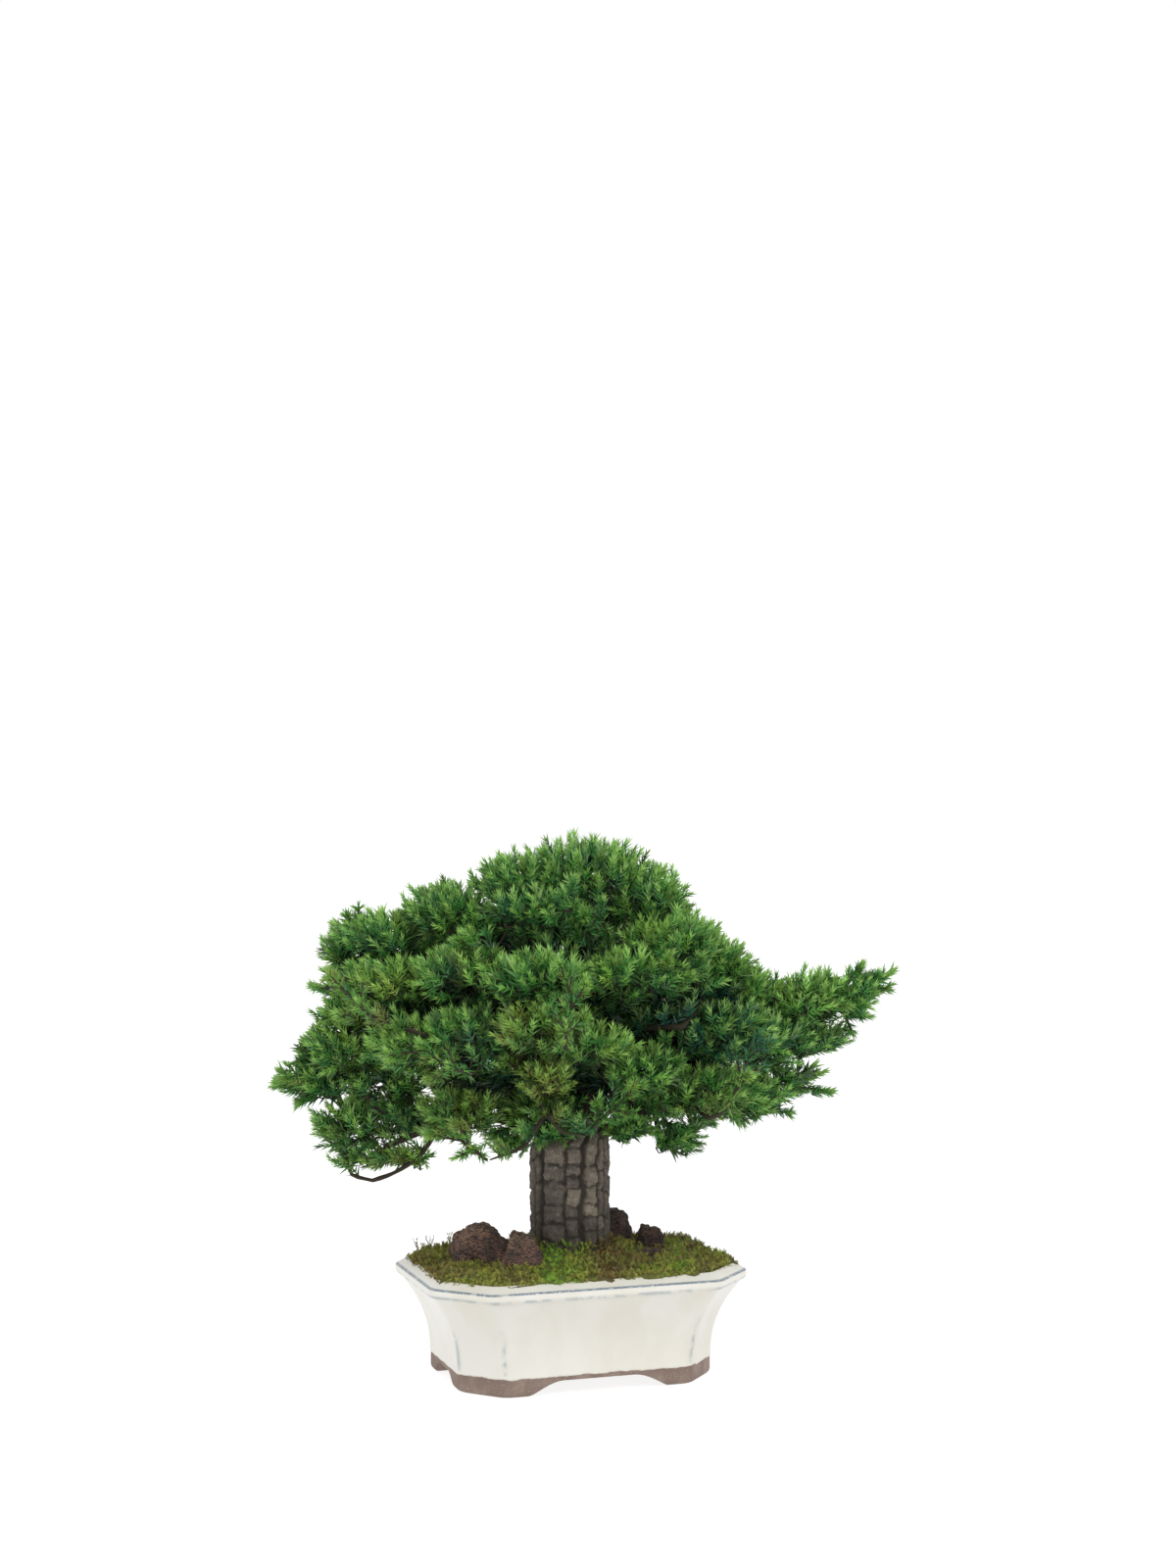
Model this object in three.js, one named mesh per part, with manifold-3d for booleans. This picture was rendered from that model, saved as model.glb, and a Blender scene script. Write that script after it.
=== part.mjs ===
// A juniper bonsai in a glazed stoneware pot.
// Millimetres, +Z up. The origin is the centre of the foot plane, +X runs along the pot's long side.
import * as THREE from 'three';
import { mergeVertices } from 'three/addons/utils/BufferGeometryUtils.js';
import Module from 'manifold-3d';

const wasm = await Module();
wasm.setup();

// Driving dimensions of the pot, rim to foot
const POT_LENGTH = 200;
const POT_DEPTH = 148;
const POT_HEIGHT = 64.4;
const RIM_CUT_X = 29;
const RIM_CUT_Y = 30;
const BASE_LENGTH = 161;
const BASE_DEPTH = 115;
const BASE_CUT_X = 22;
const BASE_CUT_Y = 24;
const BASE_HEIGHT = 11;
const LIP_HEIGHT = 4.7;
const WALL = 7.2;
const FLOOR_TOP = 16;
const LIP_OVERHANG_SHARE = 0.06;
const FLARE_POWER = 2.3;
const FOOT_ROUNDING = 3.3;
const ARCH_HEIGHT = 8.5;
const ARCH_FRONT = { halfSpan: 50, halfFlat: 22 };
const ARCH_SIDE = { halfSpan: 27, halfFlat: 9 };
const DRAIN_RADIUS = 7;
const DRAIN_X = 38;
const SCREEN_SIZE = 26;
const SCREEN_THICKNESS = 0.8;
const SCREEN_OPENING = 4.5;
const SCREEN_OPENING_OFFSET = 3;

// The ground in the pot, every piece a hair's breadth clear of the next
const GAP = 0.3;
const SOIL_TOP = 59;
const MOSS_EDGE_TOP = 67;
const MOSS_RISE = 3.5;
const MOSS_SPILL = 3.4;
const STONE_CLEARANCE = 0.7;

// The tree
const FRONT_TURN = THREE.MathUtils.degToRad(-18.5);
const TRUNK_RADIUS = 24;
const TRUNK_FLARE = 2;
const TRUNK_FOOT = 30;
const TRUNK_SHOULDER = 138;
const BARK_RELIEF = 0.9;
const BARK_PLATE_HEIGHT = 12;
const BARK_PLATES_ROUND = 11;
const TRUNK_HOLE_RADIUS = 27.9;
const CANOPY_HEART = [8, 0, 168];
const BARE_TRUNK_TOP = 160;
const BARE_TRUNK_REACH = 58;
const BOUGH_END_RADIUS = 2;
const TWIG_RADIUS = 1.35;

// The sprays of needles
const SPRAY_COUNT = 47;
const TREE_SEED = 89;
const MAIN_WHORLS = 4;
const INTERNODE = 9.5;
const WHORL = 2.2;
const SHOOT_RADIUS = 1.15;
const SIDE_SHOOT_RADIUS = 0.85;
const SIDE_SHOOT_LENGTH = 14;
const SIDE_AIM = [0.55, 0.84];
const NEEDLE_LENGTH = 7;
const NEEDLE_LEAN = THREE.MathUtils.degToRad(50);
const NEEDLE_LEAN_CHOICES = [1, 0.7, 1.25, 0.45];
const NEEDLE_RADIUS = 0.5;
const SHOOT_TAPER = 0.3;
const PAIR_TURN = 0.29;
const ROOT_GAP = GAP + 0.05;
const SPRAY_LENGTH = MAIN_WHORLS * (INTERNODE + WHORL) + NEEDLE_LENGTH;
const CLEARANCE = 1;
const CROWDING_CELL = 14;
const MAIN_ATTEMPTS = 40;
const MAIN_SWAY_STEP = 0.012;
const MAIN_BEND = 0.004;
const SIDE_ATTEMPTS = 9;
const SIDE_SWING_STEP = 0.22;
const SIDE_BEND = 0.015;

// How the sprays lie on the cushions of foliage, as shares of unit directions and of half sizes
const SPOTS_PER_PAD = 60;
const LEAFY_SHARE_OF_SKIN = 0.7;
const OPEN_SPOT_SHARE = 0.9;
const FAN_BACK = 0.6;
const FAN_BELOW = 0.7;
const LIFT_OFF_SKIN = 0.55;
const LIFT_AT_OUTLINE = 0.5;
const STRAY_SIDEWAYS = 0.35;
const TURN_UP = 0.1;

const TURN = 2 * Math.PI;
const UP = new THREE.Vector3(0, 0, 1);

// Seeded random numbers, so that every build gives the same tree
function randomSource(seed) {
  let state = seed;
  return () => {
    state = (state + 0x6d2b79f5) | 0;
    let mixed = Math.imul(state ^ (state >>> 15), 1 | state);
    mixed = (mixed + Math.imul(mixed ^ (mixed >>> 7), 61 | mixed)) ^ mixed;
    return ((mixed ^ (mixed >>> 14)) >>> 0) / 2 ** 32;
  };
}

// Points given as across, depth and height in the tree's front view, turned into the pot's frame
function frontPoint(across, depth, height) {
  return new THREE.Vector3(across, depth, height).applyAxisAngle(UP, FRONT_TURN);
}

// Solids
function solidOf(geometry) {
  const bare = geometry.clone();
  bare.deleteAttribute('normal');
  bare.deleteAttribute('uv');
  const merged = mergeVertices(bare, 1e-4);
  return new wasm.Manifold(new wasm.Mesh({
    numProp: 3,
    vertProperties: new Float32Array(merged.attributes.position.array),
    triVerts: new Uint32Array(merged.index.array),
  }));
}

function geometryOf(solid) {
  const mesh = solid.getMesh();
  const geometry = new THREE.BufferGeometry();
  geometry.setAttribute('position', new THREE.BufferAttribute(mesh.vertProperties, 3));
  geometry.setIndex(new THREE.BufferAttribute(mesh.triVerts, 1));
  return geometry;
}

function faceted(points, triangles) {
  const geometry = new THREE.BufferGeometry().setFromPoints(points);
  geometry.setIndex(triangles.flat());
  return geometry;
}

// A closed body through rings of equal count, each anticlockwise seen from the last ring's side
function loft(rings) {
  const sides = rings[0].length;
  const triangles = [];
  for (let level = 0; level + 1 < rings.length; level += 1) {
    for (let side = 0; side < sides; side += 1) {
      const next = (side + 1) % sides;
      const low = level * sides;
      const high = low + sides;
      triangles.push([low + side, low + next, high + next], [low + side, high + next, high + side]);
    }
  }
  const last = (rings.length - 1) * sides;
  for (let side = 1; side + 1 < sides; side += 1) {
    triangles.push([0, side + 1, side], [last, last + side, last + side + 1]);
  }
  return faceted(rings.flat(), triangles);
}

// A tapered limb along a curve in straight steps, with a flat end at both ends
class Limb {
  constructor(curve, startRadius, endRadius, sides, steps) {
    Object.assign(this, { curve, startRadius, endRadius, sides, steps });
    this.joints = Array.from({ length: steps + 1 }, (unused, step) => curve.getPointAt(step / steps));
  }

  pointAt(share) {
    const step = Math.min(Math.floor(share * this.steps), this.steps - 1);
    return this.joints[step].clone().lerp(this.joints[step + 1], share * this.steps - step);
  }

  radiusAt(share) {
    return THREE.MathUtils.lerp(this.startRadius, this.endRadius, share);
  }

  geometry() {
    const { normals, binormals } = this.curve.computeFrenetFrames(this.steps, false);
    return loft(this.joints.map((centre, step) => {
      const radius = this.radiusAt(step / this.steps);
      return ringAbout(centre, normals[step], binormals[step], radius, this.sides);
    }));
  }

  // Marks the limb's own room, so that sprays keep clear of it
  occupy() {
    const spacing = 1.5;
    const count = Math.ceil(this.curve.getLength() / spacing);
    for (let index = 0; index <= count; index += 1) {
      occupied.add(this.pointAt(index / count), this.radiusAt(index / count), 'wood');
    }
  }
}

function ringAbout(centre, sideways, upwards, radius, sides) {
  return Array.from({ length: sides }, (unused, index) => {
    const angle = (index * TURN) / sides;
    return centre.clone()
      .addScaledVector(sideways, radius * Math.cos(angle))
      .addScaledVector(upwards, radius * Math.sin(angle));
  });
}

// Pieces of the finished object
const bonsai = new THREE.Group();

function addPiece(name, geometry, finish) {
  const mesh = new THREE.Mesh(geometry, new THREE.MeshStandardMaterial(finish));
  mesh.name = name;
  bonsai.add(mesh);
}

const CREAM_GLAZE = { color: 0xe6e1d6, roughness: 0.22, metalness: 0 };
const DARK_EARTH = { color: 0x3b2f26, roughness: 0.95, metalness: 0 };
const GREEN_MOSS = { color: 0x6e7a2a, roughness: 0.95, metalness: 0 };
const LAVA_STONE = { color: 0x4a3a36, roughness: 0.92, metalness: 0 };
const BARK = { color: 0x7a6c5c, roughness: 0.9, metalness: 0 };
const NEEDLE_GREEN = { color: 0x2f6b2b, roughness: 0.55, metalness: 0 };
const SCREEN_BLACK = { color: 0x2a2c2d, roughness: 0.6, metalness: 0 };

// Pot

// How far the wall has drawn in from the rim, from a little under the lip to 1 at the clay base
function flareShare(z) {
  const wallTop = POT_HEIGHT - LIP_HEIGHT;
  const drop = THREE.MathUtils.clamp((wallTop - z) / (wallTop - BASE_HEIGHT), 0, 1);
  return LIP_OVERHANG_SHARE + (1 - LIP_OVERHANG_SHARE) * (1 - (1 - drop) ** FLARE_POWER);
}

// The pot's cut-corner outline, drawn in between rim and base by share and then offset by inset
function cutCornerRing(share, inset, z) {
  const halfX = THREE.MathUtils.lerp(POT_LENGTH, BASE_LENGTH, share) / 2 - inset;
  const halfY = THREE.MathUtils.lerp(POT_DEPTH, BASE_DEPTH, share) / 2 - inset;
  const cutInset = inset * (2 - Math.SQRT2);
  const innerX = halfX - THREE.MathUtils.lerp(RIM_CUT_X, BASE_CUT_X, share) + cutInset;
  const innerY = halfY - THREE.MathUtils.lerp(RIM_CUT_Y, BASE_CUT_Y, share) + cutInset;
  const quarter = [[halfX, innerY], [innerX, halfY]];
  const outline = [
    ...quarter,
    ...quarter.map(([x, y]) => [-x, y]).reverse(),
    ...quarter.map(([x, y]) => [-x, -y]),
    ...quarter.map(([x, y]) => [x, -y]).reverse(),
  ];
  return outline.map(([x, y]) => new THREE.Vector3(x, y, z));
}

// Heights at which the wall's curve has an edge, inside and out
const WALL_LEVELS = [24, 32, 40, 46, 51, 55.5, POT_HEIGHT - LIP_HEIGHT];

// The space inside the wall, or what fills it with a gap to spare
function cavity(bottom, top, gap) {
  const levels = [bottom, ...WALL_LEVELS.filter((z) => z > bottom && z < top), top];
  return loft(levels.map((z) => cutCornerRing(flareShare(z), WALL + gap, z)));
}

function potBody() {
  const rimUnderside = POT_HEIGHT - LIP_HEIGHT;
  const rings = [
    cutCornerRing(1, FOOT_ROUNDING, 0),
    cutCornerRing(1, FOOT_ROUNDING * 0.35, FOOT_ROUNDING * 0.65),
    cutCornerRing(1, 0, BASE_HEIGHT * 0.6),
    cutCornerRing(1, 0, BASE_HEIGHT),
    ...[20, ...WALL_LEVELS.slice(1, -1), rimUnderside - 0.6].map((z) => (
      cutCornerRing(flareShare(z), 0, z))),
    cutCornerRing(0, 0.3, rimUnderside),
    cutCornerRing(0, 0, rimUnderside + 1.2),
    cutCornerRing(0, 0.2, POT_HEIGHT - 1),
    cutCornerRing(0, 1.3, POT_HEIGHT),
  ];
  return solidOf(loft(rings));
}

// The low arch between two feet, as a bar that runs along Y
function archBar({ halfSpan, halfFlat }, length) {
  const below = -2;
  const toe = halfSpan * 0.86;
  const haunch = (halfFlat + halfSpan) / 2;
  const profile = new THREE.Shape();
  profile.moveTo(-halfSpan, below);
  profile.bezierCurveTo(-toe, 0, -haunch, ARCH_HEIGHT, -halfFlat, ARCH_HEIGHT);
  profile.lineTo(halfFlat, ARCH_HEIGHT);
  profile.bezierCurveTo(haunch, ARCH_HEIGHT, toe, 0, halfSpan, below);
  const extrusion = { depth: length, bevelEnabled: false, curveSegments: 7 };
  const bar = new THREE.ExtrudeGeometry(profile, extrusion);
  return bar.translate(0, 0, -length / 2).rotateX(Math.PI / 2);
}

function drainHole(x) {
  const hole = new THREE.CylinderGeometry(DRAIN_RADIUS, DRAIN_RADIUS, 2 * FLOOR_TOP, 12);
  return solidOf(hole.rotateX(Math.PI / 2).translate(x, 0, FLOOR_TOP));
}

function pot() {
  const reach = POT_LENGTH + POT_DEPTH;
  const frontArch = archBar(ARCH_FRONT, reach);
  const sideArch = archBar(ARCH_SIDE, reach).rotateZ(Math.PI / 2);
  return potBody()
    .subtract(solidOf(cavity(FLOOR_TOP, POT_HEIGHT + 2, 0)))
    .subtract(solidOf(frontArch))
    .subtract(solidOf(sideArch))
    .subtract(drainHole(-DRAIN_X))
    .subtract(drainHole(DRAIN_X));
}

// A square of coarse mesh over a drain hole, its openings in two rows of two
function drainScreen(x) {
  const middle = FLOOR_TOP + GAP + SCREEN_THICKNESS / 2;
  const sheet = new THREE.BoxGeometry(SCREEN_SIZE, SCREEN_SIZE, SCREEN_THICKNESS);
  let screen = solidOf(sheet.translate(x, 0, middle));
  for (const [column, row] of [[-1, -1], [1, -1], [-1, 1], [1, 1]]) {
    const hole = new THREE.BoxGeometry(SCREEN_OPENING, SCREEN_OPENING, 4 * SCREEN_THICKNESS);
    hole.translate(x + column * SCREEN_OPENING_OFFSET, row * SCREEN_OPENING_OFFSET, middle);
    screen = screen.subtract(solidOf(hole));
  }
  return screen;
}

// Soil

// The hole that the trunk stands in, from the given height upwards
function plainHole(bottom) {
  const height = TRUNK_SHOULDER;
  const hole = new THREE.CylinderGeometry(TRUNK_HOLE_RADIUS, TRUNK_HOLE_RADIUS, height, 16);
  return solidOf(hole.rotateX(Math.PI / 2).translate(0, 0, bottom + height / 2));
}

// The soil lies over both screens, so its underside keeps a shallow seat for each
function screenSeat(x) {
  const size = SCREEN_SIZE + 2 * GAP;
  const height = SCREEN_THICKNESS + 3 * GAP;
  return solidOf(new THREE.BoxGeometry(size, size, 2 * height).translate(x, 0, FLOOR_TOP + GAP));
}

function soil() {
  return solidOf(cavity(FLOOR_TOP + GAP, SOIL_TOP, GAP + 0.05))
    .subtract(plainHole(TRUNK_FOOT - GAP))
    .subtract(screenSeat(-DRAIN_X))
    .subtract(screenSeat(DRAIN_X));
}

// Stones

// A rough lava stone: a lumpy ball with chipped flat faces and a flat seat on the soil
class Stone {
  constructor(name, seed, [across, depth], [width, deep, top], turnDegrees, detail, chips) {
    Object.assign(this, { name, seed, width, deep, top, detail, chips });
    this.centre = frontPoint(across, depth, 0);
    this.turn = THREE.MathUtils.degToRad(turnDegrees);
  }

  // The whole lump about its seat, grown sideways by the given margin
  lump(margin) {
    const random = randomSource(this.seed);
    const waves = Array.from({ length: 5 }, () => new THREE.Vector4(
      random() * 2 - 1, random() * 2 - 1, random() * 2 - 1, random() * TURN));
    const planes = this.chips.map(([x, y, z, share]) => (
      { normal: new THREE.Vector3(x, y, z).normalize(), share }));
    const ball = new THREE.IcosahedronGeometry(1, this.detail);
    ball.deleteAttribute('normal');
    ball.deleteAttribute('uv');
    const surface = mergeVertices(ball, 1e-4);
    const point = new THREE.Vector3();
    const half = new THREE.Vector3(this.width / 2, this.deep / 2, this.top - SOIL_TOP - GAP);
    for (let index = 0; index < surface.attributes.position.count; index += 1) {
      point.fromBufferAttribute(surface.attributes.position, index);
      point.divideScalar((point.x ** 4 + point.y ** 4 + point.z ** 4) ** (1 / 4));
      const swell = waves.reduce((sum, { x, y, z, w }) => (
        sum + Math.sin(3.2 * (x * point.x + y * point.y + z * point.z) + w)), 0);
      point.multiplyScalar(0.93 + 0.035 * swell);
      for (const { normal, share } of planes) {
        point.addScaledVector(normal, -Math.max(0, point.dot(normal) - share));
      }
      point.multiply(half);
      const grow = 1 + margin / Math.max(Math.hypot(point.x, point.y), 1);
      point.set(point.x * grow, point.y * grow, point.z + SOIL_TOP + GAP);
      point.applyAxisAngle(UP, this.turn);
      point.add(this.centre);
      surface.attributes.position.setXYZ(index, point.x, point.y, point.z);
    }
    return solidOf(surface);
  }

  // The part of the lump above the soil, with its flat seat
  solid() {
    const height = 2 * this.top;
    const aboveSoil = new THREE.BoxGeometry(POT_LENGTH, POT_DEPTH, height);
    return this.lump(0).intersect(solidOf(aboveSoil.translate(0, 0, SOIL_TOP + GAP + height / 2)));
  }
}

// Each stone's seed, place and size in the front view, turn, roundness and chipped faces
const STONES = [
  new Stone('stone_left', 11, [-56, -7], [38, 26, 92], -16, 2,
    [[0, -1, 0.1, 0.62], [-1, -0.2, 0.5, 0.78], [0.8, -0.1, 1, 0.76], [-0.1, 0.2, 1, 0.93]]),
  new Stone('stone_wedge', 23, [-26, -33.5], [27, 15, 86], -24, 1,
    [[-0.2, -1, 0.5, 0.6], [1, 0, 1, 0.6], [-1, 0, 0.4, 0.75]]),
  new Stone('stone_right', 37, [27, 33.5], [30, 24, 97], 20, 1,
    [[0.5, -1, 0.4, 0.72], [1, 0.3, 1, 0.8], [0, 1, 0.3, 0.7]]),
  new Stone('stone_small', 41, [50, 19], [16, 13, 88.5], -10, 1,
    [[0.2, 0.2, 1, 0.8], [0, -1, 0.2, 0.7]]),
  new Stone('stone_low', 53, [46, -4], [25, 15, 79], 8, 1,
    [[0, 0.1, 1, 0.72], [0.2, -1, 0.3, 0.75]]),
];

// Moss

// How far the pot's inset rim outline lies from the middle in a direction seen from above
function edgeRadius(angle, inset) {
  const ring = cutCornerRing(0, inset, 0);
  const ray = new THREE.Vector2(Math.cos(angle), Math.sin(angle));
  let nearest = Infinity;
  ring.forEach((start, index) => {
    const end = ring[(index + 1) % ring.length];
    const normal = new THREE.Vector2(end.y - start.y, start.x - end.x);
    const facing = normal.dot(ray);
    if (facing > 0) {
      nearest = Math.min(nearest, (normal.x * start.x + normal.y * start.y) / facing);
    }
  });
  return nearest;
}

// The mossy ground's height over a point of the pot, in soft lumps
function mossHeight(x, y, share) {
  const mound = MOSS_RISE * (1 - share ** 2);
  const lumps = 1.5 * Math.sin(x * 0.11 + 1.7) * Math.cos(y * 0.13 + 0.4)
    + 0.9 * Math.sin(x * 0.29 - y * 0.21 + 2.1) + 0.7 * Math.cos(x * 0.17 + y * 0.37);
  return MOSS_EDGE_TOP + mound + lumps;
}

// A cushion that fills the pot's mouth, spills a little onto the rim and leaves room for trunk and stones
function moss() {
  const sides = 30;
  const wallClearance = 1.7;
  const inset = WALL + wallClearance;
  const angles = Array.from({ length: sides }, (unused, index) => (index * TURN) / sides);
  const flatRing = (ringInset, z) => angles.map((angle) => {
    const radius = edgeRadius(angle, ringInset);
    return new THREE.Vector3(radius * Math.cos(angle), radius * Math.sin(angle), z);
  });
  const moundRing = (share) => angles.map((angle) => {
    const radius = share * edgeRadius(angle, inset - MOSS_SPILL);
    const x = radius * Math.cos(angle);
    const y = radius * Math.sin(angle);
    return new THREE.Vector3(x, y, mossHeight(x, y, share));
  });
  const rimTop = POT_HEIGHT + GAP;
  const rings = [
    flatRing(inset, SOIL_TOP + GAP),
    flatRing(inset, rimTop),
    flatRing(inset - MOSS_SPILL, rimTop + 0.1),
    ...[0.97, 0.84, 0.64, 0.42].map(moundRing),
  ];
  return STONES.reduce(
    (cushion, stone) => cushion.subtract(stone.lump(STONE_CLEARANCE)),
    solidOf(loft(rings)).subtract(plainHole(SOIL_TOP - 1)),
  );
}

// Wood

// Bark stands out in staggered plates with cracks between them
function barkRelief(angle, z) {
  const row = z / BARK_PLATE_HEIGHT;
  const stagger = Math.sin(row * 1.9 + 0.7) * 0.9;
  const upright = Math.cos(BARK_PLATES_ROUND * angle + stagger);
  const level = Math.cos(TURN * row + 2.2 * Math.sin(3 * angle));
  return BARK_RELIEF * (0.65 * upright + 0.45 * level);
}

// One level of the trunk, shifted across where the shoulder leans towards the upper trunk
function trunkRing(z, radius, across) {
  const sides = 25;
  return Array.from({ length: sides }, (unused, index) => {
    const angle = (index * TURN) / sides;
    const reach = radius + barkRelief(angle, z);
    return new THREE.Vector3(reach * Math.cos(angle), reach * Math.sin(angle), z)
      .add(frontPoint(across, 0, 0));
  });
}

function trunk() {
  const rings = [
    trunkRing(TRUNK_FOOT, TRUNK_RADIUS, 0),
    trunkRing(SOIL_TOP, TRUNK_RADIUS + TRUNK_FLARE, 0),
  ];
  const flareFade = 9;
  for (let z = SOIL_TOP + 5; z < TRUNK_SHOULDER; z += BARK_PLATE_HEIGHT / 2) {
    const flare = TRUNK_FLARE * Math.exp((SOIL_TOP - z) / flareFade);
    rings.push(trunkRing(z, TRUNK_RADIUS + flare, 0));
  }
  rings.push(
    trunkRing(TRUNK_SHOULDER + 3, TRUNK_RADIUS * 0.9, 1),
    trunkRing(TRUNK_SHOULDER + 8, TRUNK_RADIUS * 0.68, 5),
    trunkRing(TRUNK_SHOULDER + 13, TRUNK_RADIUS * 0.48, 10),
  );
  return solidOf(loft(rings));
}

// A smooth route through points given as across, depth and height
function curveThrough(points) {
  return new THREE.CatmullRomCurve3(points.map((point) => frontPoint(...point)), false, 'centripetal');
}

// The thin upper trunk, then each bough's start radius and its route outwards
const LEADER = new Limb(
  curveThrough([[8, 0, 128], [14, 0, 160], [15, 2, 200], [18, 4, 245], [15, 1, 290]]), 9.5, 2.6, 8, 6);
const BOUGHS = [
  [3.6, [15, 1, 232], [-20, -5, 254], [-60, -8, 258], [-104, -3, 252]],
  [3.4, [17, 3, 238], [45, -5, 252], [76, -10, 246]],
  [4.2, [14, 1, 172], [-30, -18, 192], [-82, -22, 198], [-124, -18, 188]],
  [4.6, [2, 0, 136], [-35, -18, 158], [-80, -24, 154], [-112, -24, 140]],
  [3.2, [16, 0, 214], [8, -30, 232], [0, -60, 230]],
  [4.2, [6, -6, 138], [-5, -40, 160], [-14, -68, 166]],
  [4.4, [15, 1, 182], [60, -12, 204], [110, -22, 214], [152, -28, 222]],
  [4.0, [12, -4, 140], [45, -35, 165], [76, -58, 168]],
  [4.2, [12, 2, 140], [60, -5, 166], [108, -10, 172]],
  [3.2, [16, 4, 222], [10, 38, 235], [0, 64, 230]],
  [4.2, [12, 6, 160], [-30, 35, 184], [-82, 48, 196]],
  [4.2, [16, 6, 168], [50, 35, 190], [92, 46, 200]],
  [4.2, [8, 8, 138], [5, 45, 160], [0, 72, 168]],
  [3.4, [12, -4, 188], [-25, -38, 205], [-60, -58, 208]],
  [3.4, [18, -2, 198], [45, -38, 214], [68, -60, 216]],
].map(([radius, ...points]) => new Limb(curveThrough(points), radius, BOUGH_END_RADIUS, 5, 4));
const HOOKED_TWIG = new Limb(
  curveThrough([[-78, -24, 154], [-92, -26, 134], [-108, -26, 124], [-122, -26, 120], [-133, -26, 125],
    [-136, -25, 140], [-137, -24, 150]]), 1.9, 1.2, 4, 7);

// Canopy

// One cushion of foliage: its middle in the tree's front view and its half sizes
class Pad {
  constructor([across, height, depth, halfWidth, halfHeight, halfDepth]) {
    this.middle = new THREE.Vector3(across, depth, height);
    this.half = new THREE.Vector3(halfWidth, halfDepth, halfHeight);
  }

  // How far out a point lies, 1 on the skin
  share(point) {
    return point.clone().sub(this.middle).divide(this.half).length();
  }

  normalAt(point) {
    return point.clone().sub(this.middle).divide(this.half).divide(this.half).normalize();
  }

  // The way that shoots fan out of the pad at a point, away from the trunk and upwards
  fanAt(point) {
    const outward = this.middle.clone().sub(HEART).normalize();
    const bottom = this.middle.clone().addScaledVector(outward, -FAN_BACK * this.half.x);
    return point.clone().sub(bottom.addScaledVector(UP, -FAN_BELOW * this.half.z)).normalize();
  }

  // Spots spread evenly over the skin, leaving out the pad's shaded underside
  spots() {
    const goldenAngle = Math.PI * (3 - Math.sqrt(5));
    return Array.from({ length: SPOTS_PER_PAD }, (unused, index) => {
      const upright = 1 - (2 * LEAFY_SHARE_OF_SKIN * (index + 0.5)) / SPOTS_PER_PAD;
      const level = Math.sqrt(1 - upright ** 2);
      const angle = index * goldenAngle;
      return new THREE.Vector3(level * Math.cos(angle), level * Math.sin(angle), upright)
        .multiply(this.half).add(this.middle);
    });
  }
}

const HEART = new THREE.Vector3(CANOPY_HEART[0], CANOPY_HEART[1], CANOPY_HEART[2]);

// Each pad's across, height, depth, half width, half height and half depth, front ones first
const PADS = [
  [9, 305, -5, 46, 23, 44], [-30, 299, -10, 30, 21, 38], [48, 290, -6, 27, 21, 40],
  [-20, 286, -42, 34, 14, 30], [62, 268, -40, 30, 19, 36], [88, 250, -14, 26, 17, 36],
  [112, 233, -10, 25, 13, 32], [40, 250, -68, 34, 14, 32], [-70, 281, -14, 36, 20, 38],
  [-112, 269, -8, 36, 18, 36], [-108, 240, -40, 36, 17, 34], [-64, 249, -60, 30, 17, 32],
  [-130, 219, -10, 26, 14, 34], [-140, 198, -20, 30, 20, 36], [-158, 180, -22, 23, 11, 22],
  [-92, 207, -62, 28, 18, 30], [-136, 153, -18, 22, 17, 26], [-100, 160, -16, 24, 12, 24],
  [-118, 180, -14, 32, 12, 26], [-104, 134, -22, 22, 9, 14], [-66, 163, -42, 26, 15, 28],
  [-58, 218, -72, 26, 13, 26], [-18, 248, -80, 34, 16, 30], [-18, 219, -88, 28, 16, 26],
  [15, 210, -84, 25, 10, 26], [-13, 187, -66, 17, 15, 24], [-12, 153, -38, 20, 9, 20],
  [-38, 144, -24, 14, 5, 14], [37, 153, -34, 15, 10, 20], [148, 230, -22, 26, 18, 28],
  [172, 234, -26, 17, 13, 18], [188, 244, -28, 9, 4, 6], [150, 207, -18, 23, 12, 22],
  [98, 214, -48, 31, 18, 32], [124, 206, -28, 26, 18, 34], [45, 190, -62, 23, 16, 28],
  [84, 178, -50, 32, 16, 32], [108, 174, -30, 24, 15, 28], [136, 184, -18, 20, 7, 14],
  [122, 168, -18, 14, 6, 14], [68, 145, -24, 18, 6, 16], [0, 276, 46, 46, 26, 42],
  [-66, 256, 48, 42, 24, 42], [-120, 236, 32, 34, 22, 36], [62, 254, 50, 40, 23, 42],
  [104, 226, 40, 32, 18, 34], [-112, 196, 48, 38, 20, 34], [-64, 214, 78, 38, 22, 30],
  [-10, 236, 84, 38, 20, 30], [34, 208, 90, 38, 22, 30], [86, 196, 68, 34, 20, 34],
  [130, 200, 28, 28, 16, 28], [-60, 168, 54, 32, 14, 32], [0, 182, 78, 32, 15, 28],
  [58, 166, 50, 30, 14, 30], [-110, 158, 22, 26, 12, 24], [-150, 186, 22, 20, 12, 22],
].map((sizes) => new Pad(sizes));

// The furthest tips of the front outline, clockwise from the crown: across, height, depth
const OUTLINE_TIPS = [
  [12, 328, -4], [66, 300, -4], [101, 262, -8], [136, 247, -20], [193, 245, -32], [180, 219, -24],
  [154, 188, -18], [116, 152, -20], [68, 136, -22], [-48, 139, -22], [-86, 126, -18], [-155, 145, -16],
  [-181, 176, -30], [-152, 230, -8], [-146, 281, -8], [-57, 310, -8],
].map(([across, height, depth]) => new THREE.Vector3(across, depth, height));

// No spray's tip hangs close beside the bare trunk
function isBesideBareTrunk(point) {
  return point.z < BARE_TRUNK_TOP && Math.hypot(point.x, point.y) < BARE_TRUNK_REACH;
}

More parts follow.
